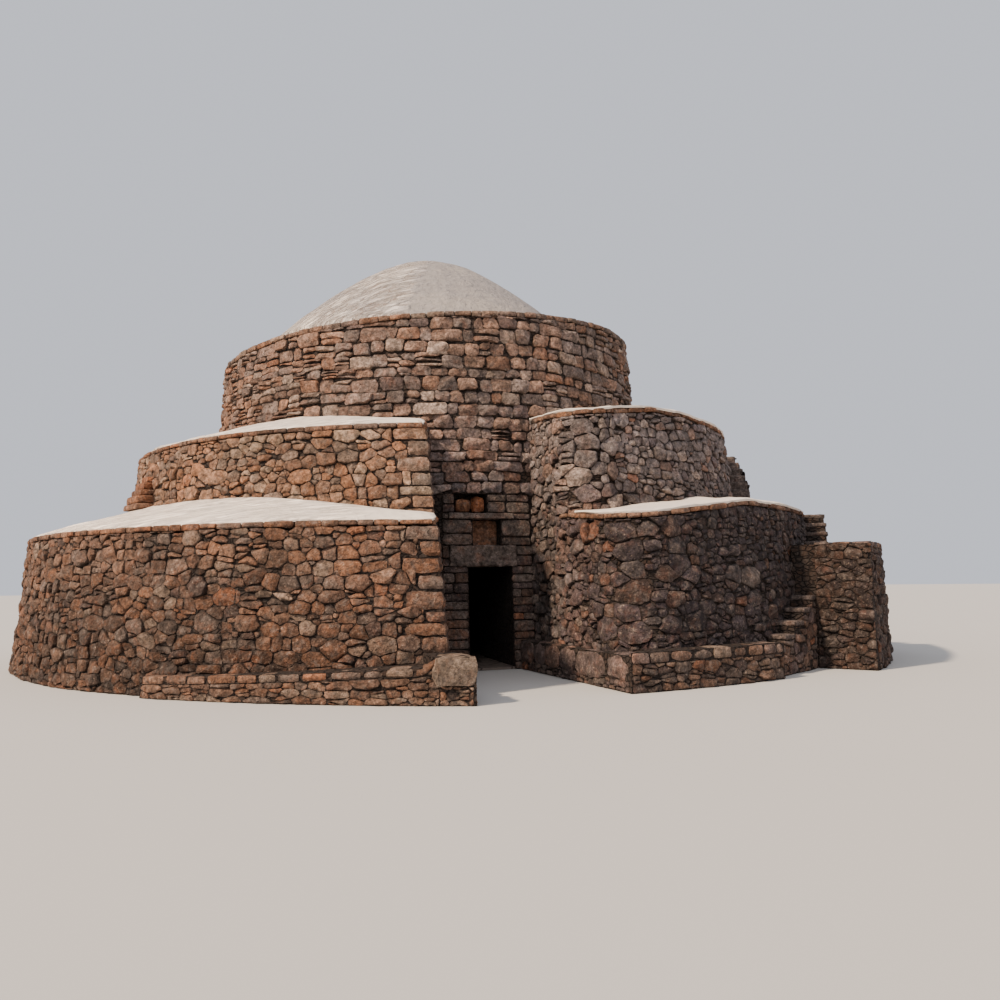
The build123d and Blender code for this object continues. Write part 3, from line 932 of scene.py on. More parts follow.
def field_stone(colours):
    """Weathered limestone: each stone's own tint, blotched with rust, grey crust and dark lichen, with
    painted shade: less rust and ochre towards the right side, darker towards each stone's foot and in the
    hollows of its bump; pale flecks are partly painted highlights.
    """
    finish = Finish("field_stone", 0.9)
    tint = finish.node("Attribute", attribute_name="tint").outputs["Color"]
    depth = finish.value("Attribute", "Fac", attribute_name="depth")
    blotch = finish.noise(6.5, 4.0, 0.62, distortion=0.3)
    mottle = finish.noise(17.0, 5.0, 0.66)
    grain = finish.noise(52.0, 5.0, 0.7)
    rust = finish.spread(finish.noise(4.4, 4.0, 0.6, distortion=0.5), 0.5, 0.68)
    crust = finish.spread(finish.noise(9.0, 6.0, 0.7, distortion=0.3), 0.5, 0.62)
    lichen = finish.spread(finish.noise(13.0, 6.0, 0.72, distortion=0.4), 0.52, 0.62)
    pale_flecks_and_highlights = finish.spread(finish.noise(21.0, 5.0, 0.7), 0.58, 0.68)
    region = finish.noise(0.8, 3.0, 0.6, distortion=0.4)
    # Painted shade: towards the house's right side (larger x) the stones get less rust and ochre
    shaded = finish.spread(finish.value("SeparateXYZ", "X", {0: finish.place}), -0.5, 2.5)
    tone = finish.blend(rust * (0.36 - shaded * 0.22), tint, colours.rust)
    tone = finish.blend(finish.spread(region, 0.5, 0.68) * (0.3 - shaded * 0.26), tone, colours.ochre)
    tone = finish.blend(crust * 0.6, tone, colours.grey)
    tone = finish.blend(lichen * 0.55, tone, toned(colours, joint=1.3))
    # Pale flecks, partly pale stone and partly painted highlights
    tone = finish.blend(pale_flecks_and_highlights * 0.6, tone, colours.pale)
    tone = finish.shade(tone, finish.spread(region, 0.32, 0.6, 0.78, 1.16))
    tone = finish.shade(tone, finish.spread(blotch, 0.32, 0.68, 0.55, 1.5))
    tone = finish.shade(tone, finish.spread(mottle, 0.32, 0.68, 0.62, 1.4))
    tone = finish.shade(tone, finish.spread(grain, 0.3, 0.7, 0.75, 1.25))
    # Painted shade: darker where the depth attribute is low, towards each stone's foot and joints and along
    # block edges
    tone = finish.shade(tone, 0.24 + (depth ** 1.2) * 0.43)
    pits = finish.pattern("SMOOTH_F1", 34.0, Smoothness=0.5)
    lumps = finish.noise(12.0, 5.0, 0.66, distortion=0.3)
    # Painted shade in the hollows: darker where the lumps that make the bump are low
    tone = finish.shade(tone, finish.spread(lumps, 0.36, 0.56, 0.6, 1.1))
    normal = finish.bump(lumps, 1.0, 0.07)
    normal = finish.bump(grain * 0.8 + pits * 0.5, 0.9, 0.018, normal)
    finish.done(tone, normal, finish.spread(grain, 0.3, 0.7, 0.84, 0.97))


def joint_earth(colours):
    """Walls behind the stones and inside the house: small rubble with near-black joints, made dim as painted
    shade of the gaps between stones and of the inside.
    """
    finish = Finish("joint_earth", 0.95)
    boss = finish.spread(
        finish.pattern("DISTANCE_TO_EDGE", 8.5, finish.stretched((0, 0, 0), (1, 1, 1.6))), 0.01, 0.16,
    )
    patch = finish.spread(finish.noise(5.0, 4.0, 0.65), 0.35, 0.65)
    grain = finish.noise(34.0, 5.0, 0.65)
    # Painted shade: the rubble's colours are a fifth of the stones' brown and grey
    dim = finish.blend(patch, toned(colours, brown=0.2), toned(colours, grey=0.2))
    tone = finish.blend(boss, toned(colours, joint=0.4), dim)
    tone = finish.shade(tone, finish.spread(grain, 0.3, 0.7, 0.55, 1.3))
    finish.done(tone, finish.bump(boss + grain * 0.5, 0.9, 0.05))


def lime_plaster(colours, name, grey_and_shade_share):
    """Hand-trowelled lime plaster: long slanting ridges with creases, stains and grit; the creases are drawn
    as thin tan lines of painted shadow, and the ridges get painted highlights and shade on the sunny side.

    The higher the grey and shade share, the greyer and darker it is on the side away from the sun, partly
    from weathering and partly as painted shade.
    """
    finish = Finish(name, 0.85)
    parts = finish.node("SeparateXYZ", {0: finish.place})
    x, y = (Value(finish, parts.outputs[axis]) for axis in ("X", "Y"))
    drawn = finish.stretched((0, 0, 0.12), (1.3, 7.5, 2.0))
    streaks = finish.noise(1.0, 6.0, 0.62, place=drawn, distortion=0.5)
    ridges = finish.spread(streaks, 0.4, 0.6)
    crease_shadow = finish.spread((streaks - 0.47) * (streaks - 0.47), 0.0, 0.0006, 1.0, 0.0)
    cloud = finish.noise(0.7, 4.0, 0.6)
    dirt = finish.spread(finish.noise(2.6, 6.0, 0.66, distortion=0.5), 0.5, 0.72)
    speck = finish.spread(finish.noise(30.0, 4.0, 0.7), 0.58, 0.7)
    dabs = finish.noise(5.5, 5.0, 0.6, distortion=0.4)
    fine = finish.noise(60.0, 4.0, 0.65)
    edge = finish.noise(0.9, 3.0, 0.6)
    # Painted shade: the side away from the sun (right and back) is made greyer and darker
    shaded_side = finish.spread(x * 0.95 - y * 0.32 + edge, 0.35, 0.7)
    weathered_and_shaded = (finish.spread(cloud, 0.35, 0.7) + shaded_side * 0.5 + 0.3) * grey_and_shade_share
    tone = finish.blend(weathered_and_shaded, colours.plaster, colours.plaster_grey)
    tone = finish.blend(dirt * 0.35, tone, colours.plaster_grey)
    # Painted shadow: thin tan lines along the creases, fading on the shaded side
    lines = crease_shadow * (0.9 - shaded_side * 0.85) * grey_and_shade_share
    tone = finish.blend(lines, tone, toned(colours, tan=0.9))
    lit = 1.2 - grey_and_shade_share * 0.4
    unlit = lit * (0.83 - grey_and_shade_share * 0.43)
    # Painted light and shade: lighter on the sunny side, darker on the side away from the sun
    tone = finish.shade(tone, finish.spread(shaded_side, 0.0, 1.0, lit, unlit))
    # Painted highlight and shade on the ridges, on the sunny side only
    tone = finish.shade(tone, 1.0 + (ridges - 0.6) * (1.0 - shaded_side) * 0.24)
    tone = finish.blend(speck * 0.22, tone, colours.brown)
    tone = finish.shade(tone, finish.spread(dabs, 0.3, 0.7, 0.88, 1.1))
    normal = finish.bump(ridges * (0.9 - shaded_side * 0.82) + dabs * 0.7, 1.0, 0.03 + grey_and_shade_share * 0.13)
    normal = finish.bump(fine, 0.4, 0.006, normal)
    finish.done(tone, normal, finish.spread(fine, 0.3, 0.7, 0.78, 0.93))


def flag_stone(colours):
    """Worn flagstones of the chamber floor."""
    finish = Finish("flag_stone", 0.7)
    edges = finish.pattern("DISTANCE_TO_EDGE", 1.9)
    grain = finish.noise(24.0, 6.0, 0.65)
    slab = finish.spread(edges, 0.012, 0.035)
    tone = finish.blend(slab, colours.joint, colours.grey)
    tone = finish.shade(tone, 0.47 + grain * 0.47)
    finish.done(tone, finish.bump(slab + grain * 0.2, 0.5, 0.01))


def pale_floor(colours):
    """The studio floor."""
    finish = Finish("pale_floor", 0.9)
    finish.done(finish.blend(finish.noise(0.35, 2.0), toned(colours, floor=0.98), colours.floor))


def paint(names, material):
    for name in names:
        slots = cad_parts[name].data.materials
        slots.clear()
        slots.append(MATERIALS[material])


# What the operators share


def settings():
    scene = bpy.context.scene
    return scene.stone_sizes, scene.stone_colours


def begin(seed):
    """Sizes, colours, random draws and an empty heap for one step."""
    sizes, colours = settings()
    return sizes, colours, np.random.default_rng(sizes.seed + seed), Heap()


def mix_of(colours, **weights):
    """Weighted colours for a group of stones."""
    return [(weight, getattr(colours, name)) for name, weight in weights.items()]


def toned(colours, **weights):
    """One colour, summed from weighted colours."""
    return sum(weight * np.array(getattr(colours, name)) for name, weight in weights.items())


def part_way(value, low, reach):
    """How far a value has come from a low mark over a reach, from 0 to 1."""
    return float(np.clip((value - low) / reach, 0, 1))


def terrace_tints(colours, bearing, level):
    """Colours of the terraces' stones: warm on the left, partly the stones' own colour and partly painted
    sunlight; dark and purplish with painted shade on the right, and partly so at the rear.
    """
    # Share of painted shade: none on the left, full from just right of the front, a third at the rear
    dusk = part_way(bearing, -12, 20) if abs(bearing) < 120 else 0.35
    warm = 1 - dusk
    if level == "upper":
        return mix_of(
            colours, tan=0.9 * warm + 0.3, ochre=0.8 * warm + 0.02, brown=0.6 * warm + 0.2,
            grey=0.9 + 2.6 * dusk, pale=0.6, dusk=0.1 + 0.5 * dusk, rust=0.05,
        )
    return mix_of(
        colours, tan=0.9 * warm + 0.06, ochre=0.9 * warm + 0.1, brown=1.4 - 0.6 * dusk,
        grey=0.9, pale=0.3 * warm + 0.03, dusk=0.3 + 3.4 * dusk, rust=0.06,
    )


def drum_tints(colours, bearing):
    """Colours of the drum's stones: orange on the left flank, partly the stones' own colour and partly
    painted sunlight; grey-tan in the middle, with a little painted shade away from the left flank.
    """
    flank = part_way(abs(bearing), 25, 35)
    left = flank if bearing < 0 else 0
    return mix_of(
        colours, tan=1.7, ochre=0.2 + 1.6 * left, brown=0.6, grey=2.2 - left, pale=1.0,
        dusk=0.15 * (1 - left), rust=0.04 + 0.12 * flank,
    )


def heights_along(face, survey, height, out, missing):
    """Marks along a face and the height of what the survey finds at each, a little out from it."""
    marks = np.linspace(0, face.length, max(40, int(face.length * 8)))
    spots = (face.at(mark, height, out) for mark in marks)
    return marks, np.array([survey.drop(x, y, missing) for x, y, _ in spots])


def top_along(face, survey, height, inset=0.12, under=0.0):
    """Height of a wall's top along its face, as a function of the way along it."""
    marks, heights = heights_along(face, survey, height, -inset, np.nan)
    known = heights > np.nanmedian(heights) - 0.8
    heights = np.interp(marks, marks[known], heights[known])
    return lambda u: float(np.interp(u, marks, heights)) - under


def foot_along(face, survey, height, clear=0.12, default=0.0):
    """Height of what a wall stands on along its face, as a function of the way along it."""
    marks, heights = heights_along(face, survey, height, clear, default)
    return lambda u: max(0.0, float(np.interp(u, marks, heights)) - FOOT_OVERLAP)


def seen_face(survey, bearings, height, batter=0.0, beyond=0.0):
    """Front of a group of solids, found by looking at it from outside at each bearing."""
    rows = []
    for bearing in bearings:
        way = outwards(bearing)
        point, _, _, _ = survey.tree.ray_cast(way * LOOK_FROM + Vector((0, 0, height)), -way)
        if point is not None and math.hypot(point.x, point.y) > beyond:
            rows.append((point.x, point.y, way.x, way.y, batter))
    return Face(rows)


def cross_face(start, way, normal, reaches):
    """Upright face along a straight line in plan."""
    spots = (start + way * reach for reach in reaches)
    return Face([(spot[0], spot[1], normal[0], normal[1], 0.0) for spot in spots])


def depth_behind(face, mark, survey, least, most, step):
    """How far the solids reach in behind a face."""
    depth = least
    while depth < most:
        x, y, _ = face.at(mark, 0.0, -depth - step)
        if survey.drop(x, y) is None:
            break
        depth += step
    return depth


class Terrace:
    """One terrace read off the frame: its round wall, its two passage walls and its faces."""

    def __init__(self, level):
        self.shape = TERRACES[level]
        low, _ = self.shape["heights"]
        self.wall = RoundWall(WALLS[level], *self.shape["heights"])
        self.rim_height = self.shape["rim"]
        self.tops = Survey(*WALLS[level], level + "_terrace_coping", level + "_terrace_screed")
        self.left_side, self.right_side = (
            FlatWall(Survey(f"{level}_terrace_front_{name}"), side, self.shape["passage_y"], low)
            for name, side in (("left", -1), ("right", 1))
        )
        self.outer_left = Face(round_stations(self.wall, -180, self.corner_bearing(0)))
        self.passage_left = Face(flat_stations(self.left_side, self.corner(0).y, self.shape["left_inner_y"]))
        self.arc, self.arc_end = rounding_stations(self.wall, self.right_side, self.shape["rounding"])
        inner, outer = self.shape["right_inner_y"], self.arc[0][1]
        straight = flat_stations(self.right_side, inner, outer)
        self.outer_right = Face(straight[:-1] + self.arc[:-1] + round_stations(self.wall, self.arc_end, 180))
        self.straight_length = abs(outer - inner)

    def corner(self, height):
        """Point where the left passage wall and the round wall meet at a height."""
        return corner_of(self.wall, self.left_side, height)

    def corner_bearing(self, height):
        return bearing_of(self.corner(height), self.wall.shift)

    def left_end(self, height):
        """Way along the left outer face where the corner stands at a height."""
        shift = self.corner_bearing(height) - self.corner_bearing(0)
        return self.outer_left.length + math.radians(shift) * self.wall.radius

    def passage_start(self, height):
        """Way along the left passage face where the corner stands at a height."""
        step = self.corner(height) - self.corner(0)
        return max(0.0, step.x * self.left_side.along.x + step.y * self.left_side.along.y)


@cache
def terrace(level):
    return Terrace(level)


@cache
def drum_wall():
    return RoundWall(WALLS["drum"], *DRUM_HEIGHTS)


@cache
def drum_face():
    return Face(round_stations(drum_wall(), -180, 180))


def drum_bearing(u):
    """Bearing of a mark on a face that starts at the back of the drum and runs once round it."""
    return math.degrees(u / drum_wall().radius) - 180


def quoin_rows(rng, low, high, usual):
    """Heights between the corner blocks' beds, from the foot to the top."""
    beds = [low]
    while beds[-1] < high - usual * 0.6:
        beds.append(min(high, beds[-1] + usual * rng.uniform(0.65, 1.35)))
    beds[-1] = high
    return beds


# Big stones at the rounded corner: way past the corner, height of the middle, length and height
CORNER_BOULDERS = {
    "lower": (
        (-0.1, 2.34, 0.62, 0.26), (0.42, 2.4, 0.42, 0.2), (0.06, 2.06, 0.56, 0.27), (0.1, 1.76, 0.4, 0.25),
        (0.12, 1.42, 0.58, 0.37), (0.03, 1.1, 0.5, 0.25), (0.12, 0.8, 0.62, 0.3), (-0.42, 0.86, 0.5, 0.34),
        (1.0, 1.85, 0.42, 0.34), (1.3, 0.95, 0.46, 0.32), (0.85, 1.3, 0.4, 0.26),
    ),
    "upper": (
        (0.0, 4.28, 0.55, 0.24), (0.1, 4.02, 0.6, 0.24), (0.05, 3.72, 0.5, 0.28), (-0.1, 3.4, 0.62, 0.27),
        (0.1, 3.1, 0.55, 0.26), (0.7, 3.95, 0.45, 0.3), (0.75, 3.5, 0.4, 0.28),
    ),
}


def lay_terrace(level, low_left, low_right, low_passage):
    """Stones, corner blocks and passage faces of one terrace, in four pieces."""
    here = terrace(level)
    sizes, colours, rng, left = begin(here.shape["seed"])
    top_left, top_right, top_passage = (
        top_along(face, here.tops, here.rim_height, under=sizes.rim_thickness)
        for face in (here.outer_left, here.outer_right, here.passage_left)
    )
    corner_mark = here.left_end(3.0) - 0.2
    beds = quoin_rows(rng, low_left(corner_mark), top_left(corner_mark), sizes.quoin_height)
    blocks = []
    for number, (bottom, top) in enumerate(zip(beds, beds[1:])):
        along, inward = sizes.quoin_long, sizes.quoin_short
        if number % 2:
            along, inward = inward, along
        blocks.append((bottom, top, along * rng.uniform(0.85, 1.2), inward * rng.uniform(0.8, 1.1)))

    def side_of(z, which):
        return next((block[which] for block in blocks if block[0] <= z < block[1]), 0.0)

    # Painted shade on the right side: RIGHT_SHADE darkens and cools the stones; on the upper terrace they
    # lighten towards the top, and on the lower terrace near the drum end of the passage, as painted light
    # that lifts the key light's cast shadow there
    def shaded(u, z):
        if level == "upper":
            share = 1 + float(np.clip((z - 2.6) / 0.9, 0, 1.1))
        else:
            share = 0.86 + 0.8 * float(np.clip(1.2 - u / here.straight_length, 0, 1))
        return np.array(RIGHT_SHADE) * share

    # Painted sunlight on the upper terrace's left side; on the lower terrace, darker towards the ground from
    # soil and painted shade, and darker away from the corner as painted shade
    def left_soil_shade_and_light(u, z):
        if level == "upper":
            return np.array(UPPER_LEFT_GLOW)
        before = part_way(here.outer_left.length - u, 1.0, 2.5)
        return (0.5 + 0.46 * part_way(z, 0.5, 1.5)) * (1 - 0.17 * before)

    def palette_left(u):
        return terrace_tints(colours, math.degrees(u / here.wall.radius) - 180, level)

    def palette_right(u):
        beyond = (u - here.straight_length) / here.wall.radius
        return terrace_tints(colours, 8 + math.degrees(max(0, beyond)), level)

    bond = Bond(sizes.stone_length, sizes.stone_height)
    quarter = here.wall.radius * math.radians(REAR_LEFT_ARC)
    rear_left = Heap(plain=True)
    field(
        lambda u: rear_left if u < quarter else left, here.outer_left, bond, rng, low_left, top_left,
        palette_left, right=lambda z: here.left_end(z) - side_of(z, 2), grade=left_soil_shade_and_light,
    )
    # The passage's left face in painted shade: a dark purplish mix, darkened further by PASSAGE_SHADE
    field(
        left, here.passage_left, bond, rng, low_passage, top_passage,
        mix_of(colours, grey=1.4, brown=0.7, dusk=1.8, tan=0.2, rust=0.04),
        left=lambda z: here.passage_start(max(z, 0.0)) + side_of(z, 3), grade=PASSAGE_SHADE,
    )
    gap = sizes.joint * 0.5
    proud = sizes.relief * 0.95
    normal_in = np.array(here.left_side.normal)
    for bottom, top, along, inward in blocks:
        def place(a, b, c):
            height = bottom + gap + (top - bottom - 2 * gap) * c
            outer = here.outer_left.at(here.left_end(height) - along * (1 - a), height, 0)
            inner = here.passage_left.at(here.passage_start(height) + inward * b, height, 0)
            normal_out = np.array(outwards(here.corner_bearing(height)))
            push = normal_out * proud * (1 - b) + normal_in * proud * a
            return outer + inner - np.array(here.corner(height)) + push

        tint = mixed_tint(rng, terrace_tints(colours, here.shape["corner_bearing"], level))
        tint = tint * left_soil_shade_and_light(here.outer_left.length, (bottom + top) / 2)
        lay_block(left, "block", place, tint, rng, 0.035)
    left.piece(level + "_wall_stones_left", "rubble_stone")

    right = Heap()
    rear_right = Heap(plain=True)
    half = here.straight_length + here.wall.radius * math.radians(FRONT_RIGHT_ARC)
    rounded_mark = here.straight_length + 0.55
    shrink = here.shape["right_shrink"]
    bond = Bond(
        sizes.stone_length * shrink, sizes.stone_height * shrink, chips=0.2, boss=(0.42, 0.27),
        placed=[(rounded_mark + u, z, wide, high) for u, z, wide, high in CORNER_BOULDERS[level]],
    )
    field(
        lambda u: rear_right if u > half else right, here.outer_right, bond, rng, low_right, top_right,
        palette_right, grade=shaded,
    )
    right.piece(level + "_wall_stones_right", "rubble_stone")
    rear_left.piece(level + "_wall_stones_rear_left", "rubble_stone")
    rear_right.piece(level + "_wall_stones_rear_right", "rubble_stone")


def slab_spans(rng, span, usual, longest, joined):
    """Ends of the slabs of a course, each with its own length; a short rest joins the last slab."""
    u = span[0]
    while u < span[1] - 0.02:
        end = u + usual * rng.uniform(0.6, longest)
        if span[1] - end < usual * joined:
            end = span[1]
        yield u, end
        u = end


def lay_rim(heap, face, top, span, sizes, rng, palette, cover=0.0):
    """A course of flat slabs along a rim, each with its own length and set."""
    for u, end in slab_spans(rng, span, sizes.rim_length, longest=1.5, joined=0.4):
        out = rng.uniform(0.035, 0.075)
        thick = sizes.rim_thickness * rng.uniform(0.86, 1.1)
        sink = rng.uniform(0.0, 0.012) + cover
        place = on_face(
            face, u - 0.005, end + 0.005, lambda s: top(s) - thick, lambda s: top(s) - sink,
            -sizes.rim_depth, out,
        )
        lay_block(heap, "slab", place, mixed_tint(rng, palette(u)), rng, 0.01)


def lay_caps(heap, face, top, span, thick, rng, palette, survey):
    """Flat slabs along the top of a bench, from its front to the wall behind."""
    for u, end in slab_spans(rng, span, usual=0.36, longest=1.4, joined=0.5):
        depth = depth_behind(face, (u + end) / 2, survey, least=0.1, most=0.9, step=0.05)
        lift = rng.uniform(-0.004, 0.016)
        out = rng.uniform(0.02, 0.05)
        place = on_face(
            face, u + 0.004, end - 0.004, lambda s: top(s) - thick, lambda s: top(s) + lift, -depth, out,
        )
        lay_block(heap, "block", place, mixed_tint(rng, palette), rng, 0.014)


# Operators


class STONEHOUSE_OT_materials(bpy.types.Operator):
    """Makes the materials and the rough blocks, and paints the solids that stay in sight."""

    bl_idname = "stonehouse.materials"
    bl_label = "Materials"

    def execute(self, context):
        _, colours = settings()
        field_stone(colours)
        joint_earth(colours)
        lime_plaster(colours, "terrace_plaster", grey_and_shade_share=0.25)
        lime_plaster(colours, "dome_plaster", grey_and_shade_share=0.8)
        flag_stone(colours)
        pale_floor(colours)
        paint(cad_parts, "joint_earth")
        paint(["chamber_floor"], "flag_stone")
        paint(["dome"], "dome_plaster")
        paint(["lower_terrace_screed", "upper_terrace_screed"], "terrace_plaster")
        for name, roundness in (("block", 0.24), ("slab", 0.12), ("boulder", 0.6)):
            shape_block(name, roundness)
        return {"FINISHED"}


class STONEHOUSE_OT_lower_walls(bpy.types.Operator):
    """Lays the stones of the lower terrace and of its side of the passage."""

    bl_idname = "stonehouse.lower_walls"
    bl_label = "Lower Terrace Stones"

    def execute(self, context):
        here = terrace("lower")
        ground = Survey(
            "bench_left", "bench_corner_block", "bench_right_front", "bench_right_passage", "stair_masonry",
        )
        faces = (here.outer_left, here.outer_right, here.passage_left)
        lay_terrace("lower", *(foot_along(face, ground, 0.6) for face in faces))
        return {"FINISHED"}


class STONEHOUSE_OT_upper_walls(bpy.types.Operator):
    """Lays the stones of the upper terrace and of its side of the passage."""

    bl_idname = "stonehouse.upper_walls"
    bl_label = "Upper Terrace Stones"

    def execute(self, context):
        here = terrace("upper")
        lower = terrace("lower").tops
        left = foot_along(here.outer_left, lower, height=3.0, clear=0.1, default=2.4)
        right = foot_along(here.outer_right, lower, height=3.0, clear=0.1, default=FOOT_OVERLAP)
        lay_terrace("upper", left, right, 0.0)
        self.flank_slabs(here, lower)
        return {"FINISHED"}

    def flank_slabs(self, here, lower):
        """A small stack of flat slabs that leans on the left flank."""
        sizes, colours, rng, heap = begin(seed=29)
        palette = mix_of(colours, ochre=1.0, rust=0.6, tan=0.8)
        spot = here.wall.point(FLANK_SLABS_BEARING, 3.2, 0.2)
        height = lower.drop(spot.x, spot.y) - 0.02
        for reach, long in ((0.36, 0.95), (0.33, 0.85), (0.27, 0.72), (0.21, 0.6), (0.14, 0.45)):
            thick = rng.uniform(0.11, 0.16)
            bearing = FLANK_SLABS_BEARING + rng.normal(0, 0.3)
            middle = here.outer_left.mark_near(here.wall.point(bearing))
            place = on_face(
                here.outer_left, middle - long / 2, middle + long / 2, height, height + thick, -0.05, reach,
            )
            lay_block(heap, "slab", place, mixed_tint(rng, palette), rng, 0.02)
            height += thick
        heap.piece("flank_slabs", "rubble_stone")


class STONEHOUSE_OT_drum(bpy.types.Operator):
    """Lays the stones of the drum over the terraces."""

    bl_idname = "stonehouse.drum"
    bl_label = "Drum Stones"

    def execute(self, context):
        sizes, colours, rng, front = begin(seed=37)
        face = drum_face()
        top = top_along(face, Survey("drum_coping"), DRUM_RIM, 0.1, sizes.rim_thickness)
        foot = foot_along(face, terrace("upper").tops, height=5.0, clear=0.1, default=3.2)
        bay_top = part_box("upper_niche_stones")[1].z + 0.01
        bay = [drum_wall().radius * math.radians(bearing + 180) for bearing in DOOR_BAY]
        rear = Heap(plain=True)
        bond = Bond(
            sizes.drum_length, sizes.drum_height, swing=0.022, spread=0.3,
            splits=lambda u: 0.7 if 32 < abs(drum_bearing(u)) < 110 else 0.12, coursed=True,
        )

        # Painted shade: the low drum between the terraces is darker and more purplish, and it lightens
        # upwards
        def paler_with_height(u, z):
            reds_greens_blues = ((0.94, 1.24), (1.06, 1.29), (1.3, 1.38))
            return np.array([np.interp(z, (3.4, 5.2), pair) for pair in reds_greens_blues])

        field(
            lambda u: front if abs(drum_bearing(u)) < DRUM_FRONT_ARC else rear, face, bond, rng,
            lambda u: bay_top if bay[0] < u < bay[1] else foot(u), top,
            lambda u: drum_tints(colours, drum_bearing(u)), grade=paler_with_height,
        )
        front.piece("drum_stones_front", "rubble_stone")
        rear.piece("drum_stones_rear", "rubble_stone")
        return {"FINISHED"}


class STONEHOUSE_OT_rims(bpy.types.Operator):
    """Lays the courses of flat slabs round the three rims."""

    bl_idname = "stonehouse.rims"
    bl_label = "Rim Slabs"

    def execute(self, context):
        sizes, colours, rng, _ = begin(seed=53)
        tints = mix_of(colours, ochre=1.2, tan=1.2, brown=0.8, rust=0.3, grey=0.5)
        cover = sizes.plaster_lip * 0.5
        for level in ("lower", "upper"):
            here = terrace(level)
            rim = here.rim_height
            heap = Heap()
            for face, start, end in (
                (here.outer_left, 0, here.left_end(rim)),
                (here.outer_right, 0.2, here.outer_right.length),
                (here.passage_left, here.passage_start(rim) + 0.1, here.passage_left.length - 0.3),
            ):
                top = top_along(face, here.tops, rim)
                lay_rim(heap, face, top, (start, end), sizes, rng, lambda u: tints, cover)
            heap.piece(level + "_rim_slabs", "coping_stone", [level + "_terrace_coping"])
        face = drum_face()
        heap = Heap()
        lay_rim(
            heap, face, top_along(face, Survey("drum_coping"), DRUM_RIM, 0.1), (0, face.length), sizes, rng,
            lambda u: drum_tints(colours, drum_bearing(u)),
        )
        heap.piece("drum_rim_slabs", "coping_stone", ["drum_coping"])
        return {"FINISHED"}


class STONEHOUSE_OT_plaster(bpy.types.Operator):
    """Spreads the plaster over the two terraces."""

    bl_idname = "stonehouse.plaster"
    bl_label = "Terrace Plaster"

    def execute(self, context):
        for level, inner_wall in (("lower", terrace("upper").wall), ("upper", drum_wall())):
            points = self.survey_top(terrace(level), inner_wall)
            self.level_out(points)
            self.spread(level, points)
        return {"FINISHED"}

    def survey_top(self, here, inner_wall, along=420, across=18):
        """Grid of points from the wall behind to the rim, with the solids' height or nan where they miss."""
        height = here.rim_height
        corner = here.corner(height)
        inner_y = -(inner_wall.radius - inner_wall.batter * height) + 0.05
        right = flat_stations(here.right_side, inner_y, here.arc[0][1], 12)
        left = flat_stations(here.left_side, corner.y, inner_y, 12)
        outer = round_stations(here.wall, here.arc_end, 360 + here.corner_bearing(height))
        rim = Face(right[:-1] + here.arc[:-1] + outer + left)
        right_part = abs(here.arc[0][1] - inner_y) / rim.length
        left_part = abs(corner.y - inner_y) / rim.length
        first = bearing_of(here.right_side.at_y(inner_y, height), inner_wall.shift)
        last = 360 + bearing_of(here.left_side.at_y(inner_y, height), inner_wall.shift)
        turns = ([0, right_part, 1 - left_part, 1], [first, first + 4, last - 4, last])
        points = np.zeros((along, across, 3))
        for row, part in zip(points, np.linspace(0, 1, along)):
            bearing = np.interp(part, *turns)
            mark = rim.length * part
            ragged = 0.035 + 0.02 * noise.noise(Vector((mark * 4, height, 1)))
            edge = rim.at(mark, height, ragged)
            edge_probe = rim.at(mark, height, -0.06)
            wall_point = np.array(inner_wall.point(bearing, height, -0.03))
            wall_probe = np.array(inner_wall.point(bearing, height, 0.05))
            for j, out in enumerate(np.linspace(0, 1, across)):
                x, y, _ = wall_point * (1 - out) + edge * out
                probe = wall_probe * (1 - out) + edge_probe * out
                row[j] = (x, y, here.tops.drop(probe[0], probe[1], np.nan))
        return points

    def level_out(self, points):
        """Fills the gaps of the survey, drops what falls into a joint and smooths the rest."""
        steps = np.arange(len(points))
        heights = points[:, :, 2]
        for column in heights.T:
            known = ~np.isnan(column)
            column[:] = np.interp(steps, steps[known], column[known])
        reach = 5
        padded = np.pad(heights, ((reach, reach), (0, 0)), "edge")
        heights = np.median([padded[step:step + len(steps)] for step in range(2 * reach + 1)], axis=0)
        for _ in range(12):
            padded = np.pad(heights, ((1, 1), (0, 0)), "edge")
            heights = (padded[:-2] + 2 * padded[1:-1] + padded[2:]) / 4

        def swell(x, y):
            return noise.noise(Vector((x * 1.3, y * 1.3, 4))) + 0.4 * noise.noise(Vector((x * 5, y * 5, 9)))

        uneven = np.array([[swell(x, y) for x, y, _ in row] for row in points])
        points[:, :, 2] = heights + 0.02 + uneven * 0.028
        points[:, -1, 2] -= 0.02

    def spread(self, level, points):
        """Makes the plaster's sheet from its points and gives it a thickness."""
        corners = np.arange(points.shape[0] * points.shape[1]).reshape(points.shape[:2])
        faces = np.stack([corners[:-1, :-1], corners[:-1, 1:], corners[1:, 1:], corners[1:, :-1]], axis=-1)
        mesh = bpy.data.meshes.new(level + "_plaster")
        mesh.from_pydata(points.reshape(-1, 3).tolist(), [], faces.reshape(-1, 4).tolist())
        piece = add_object(level + "_terrace_plaster", mesh)
        edit_all(lambda: bpy.ops.mesh.normals_make_consistent(inside=False))
        face_up(mesh)
        sizes, _ = settings()
        shell = piece.modifiers.new("thickness", "SOLIDIFY")
        shell.thickness = sizes.plaster_lip
        shell.offset = -1
        edge = piece.modifiers.new("soft_edge", "BEVEL")
        edge.width = 0.012
        edge.segments = 2
        edge.limit_method = "ANGLE"
        apply_modifiers(piece)
        bpy.ops.object.shade_smooth_by_angle(angle=math.radians(50))
        settle(piece, "terrace_plaster", [level + "_terrace_screed"])


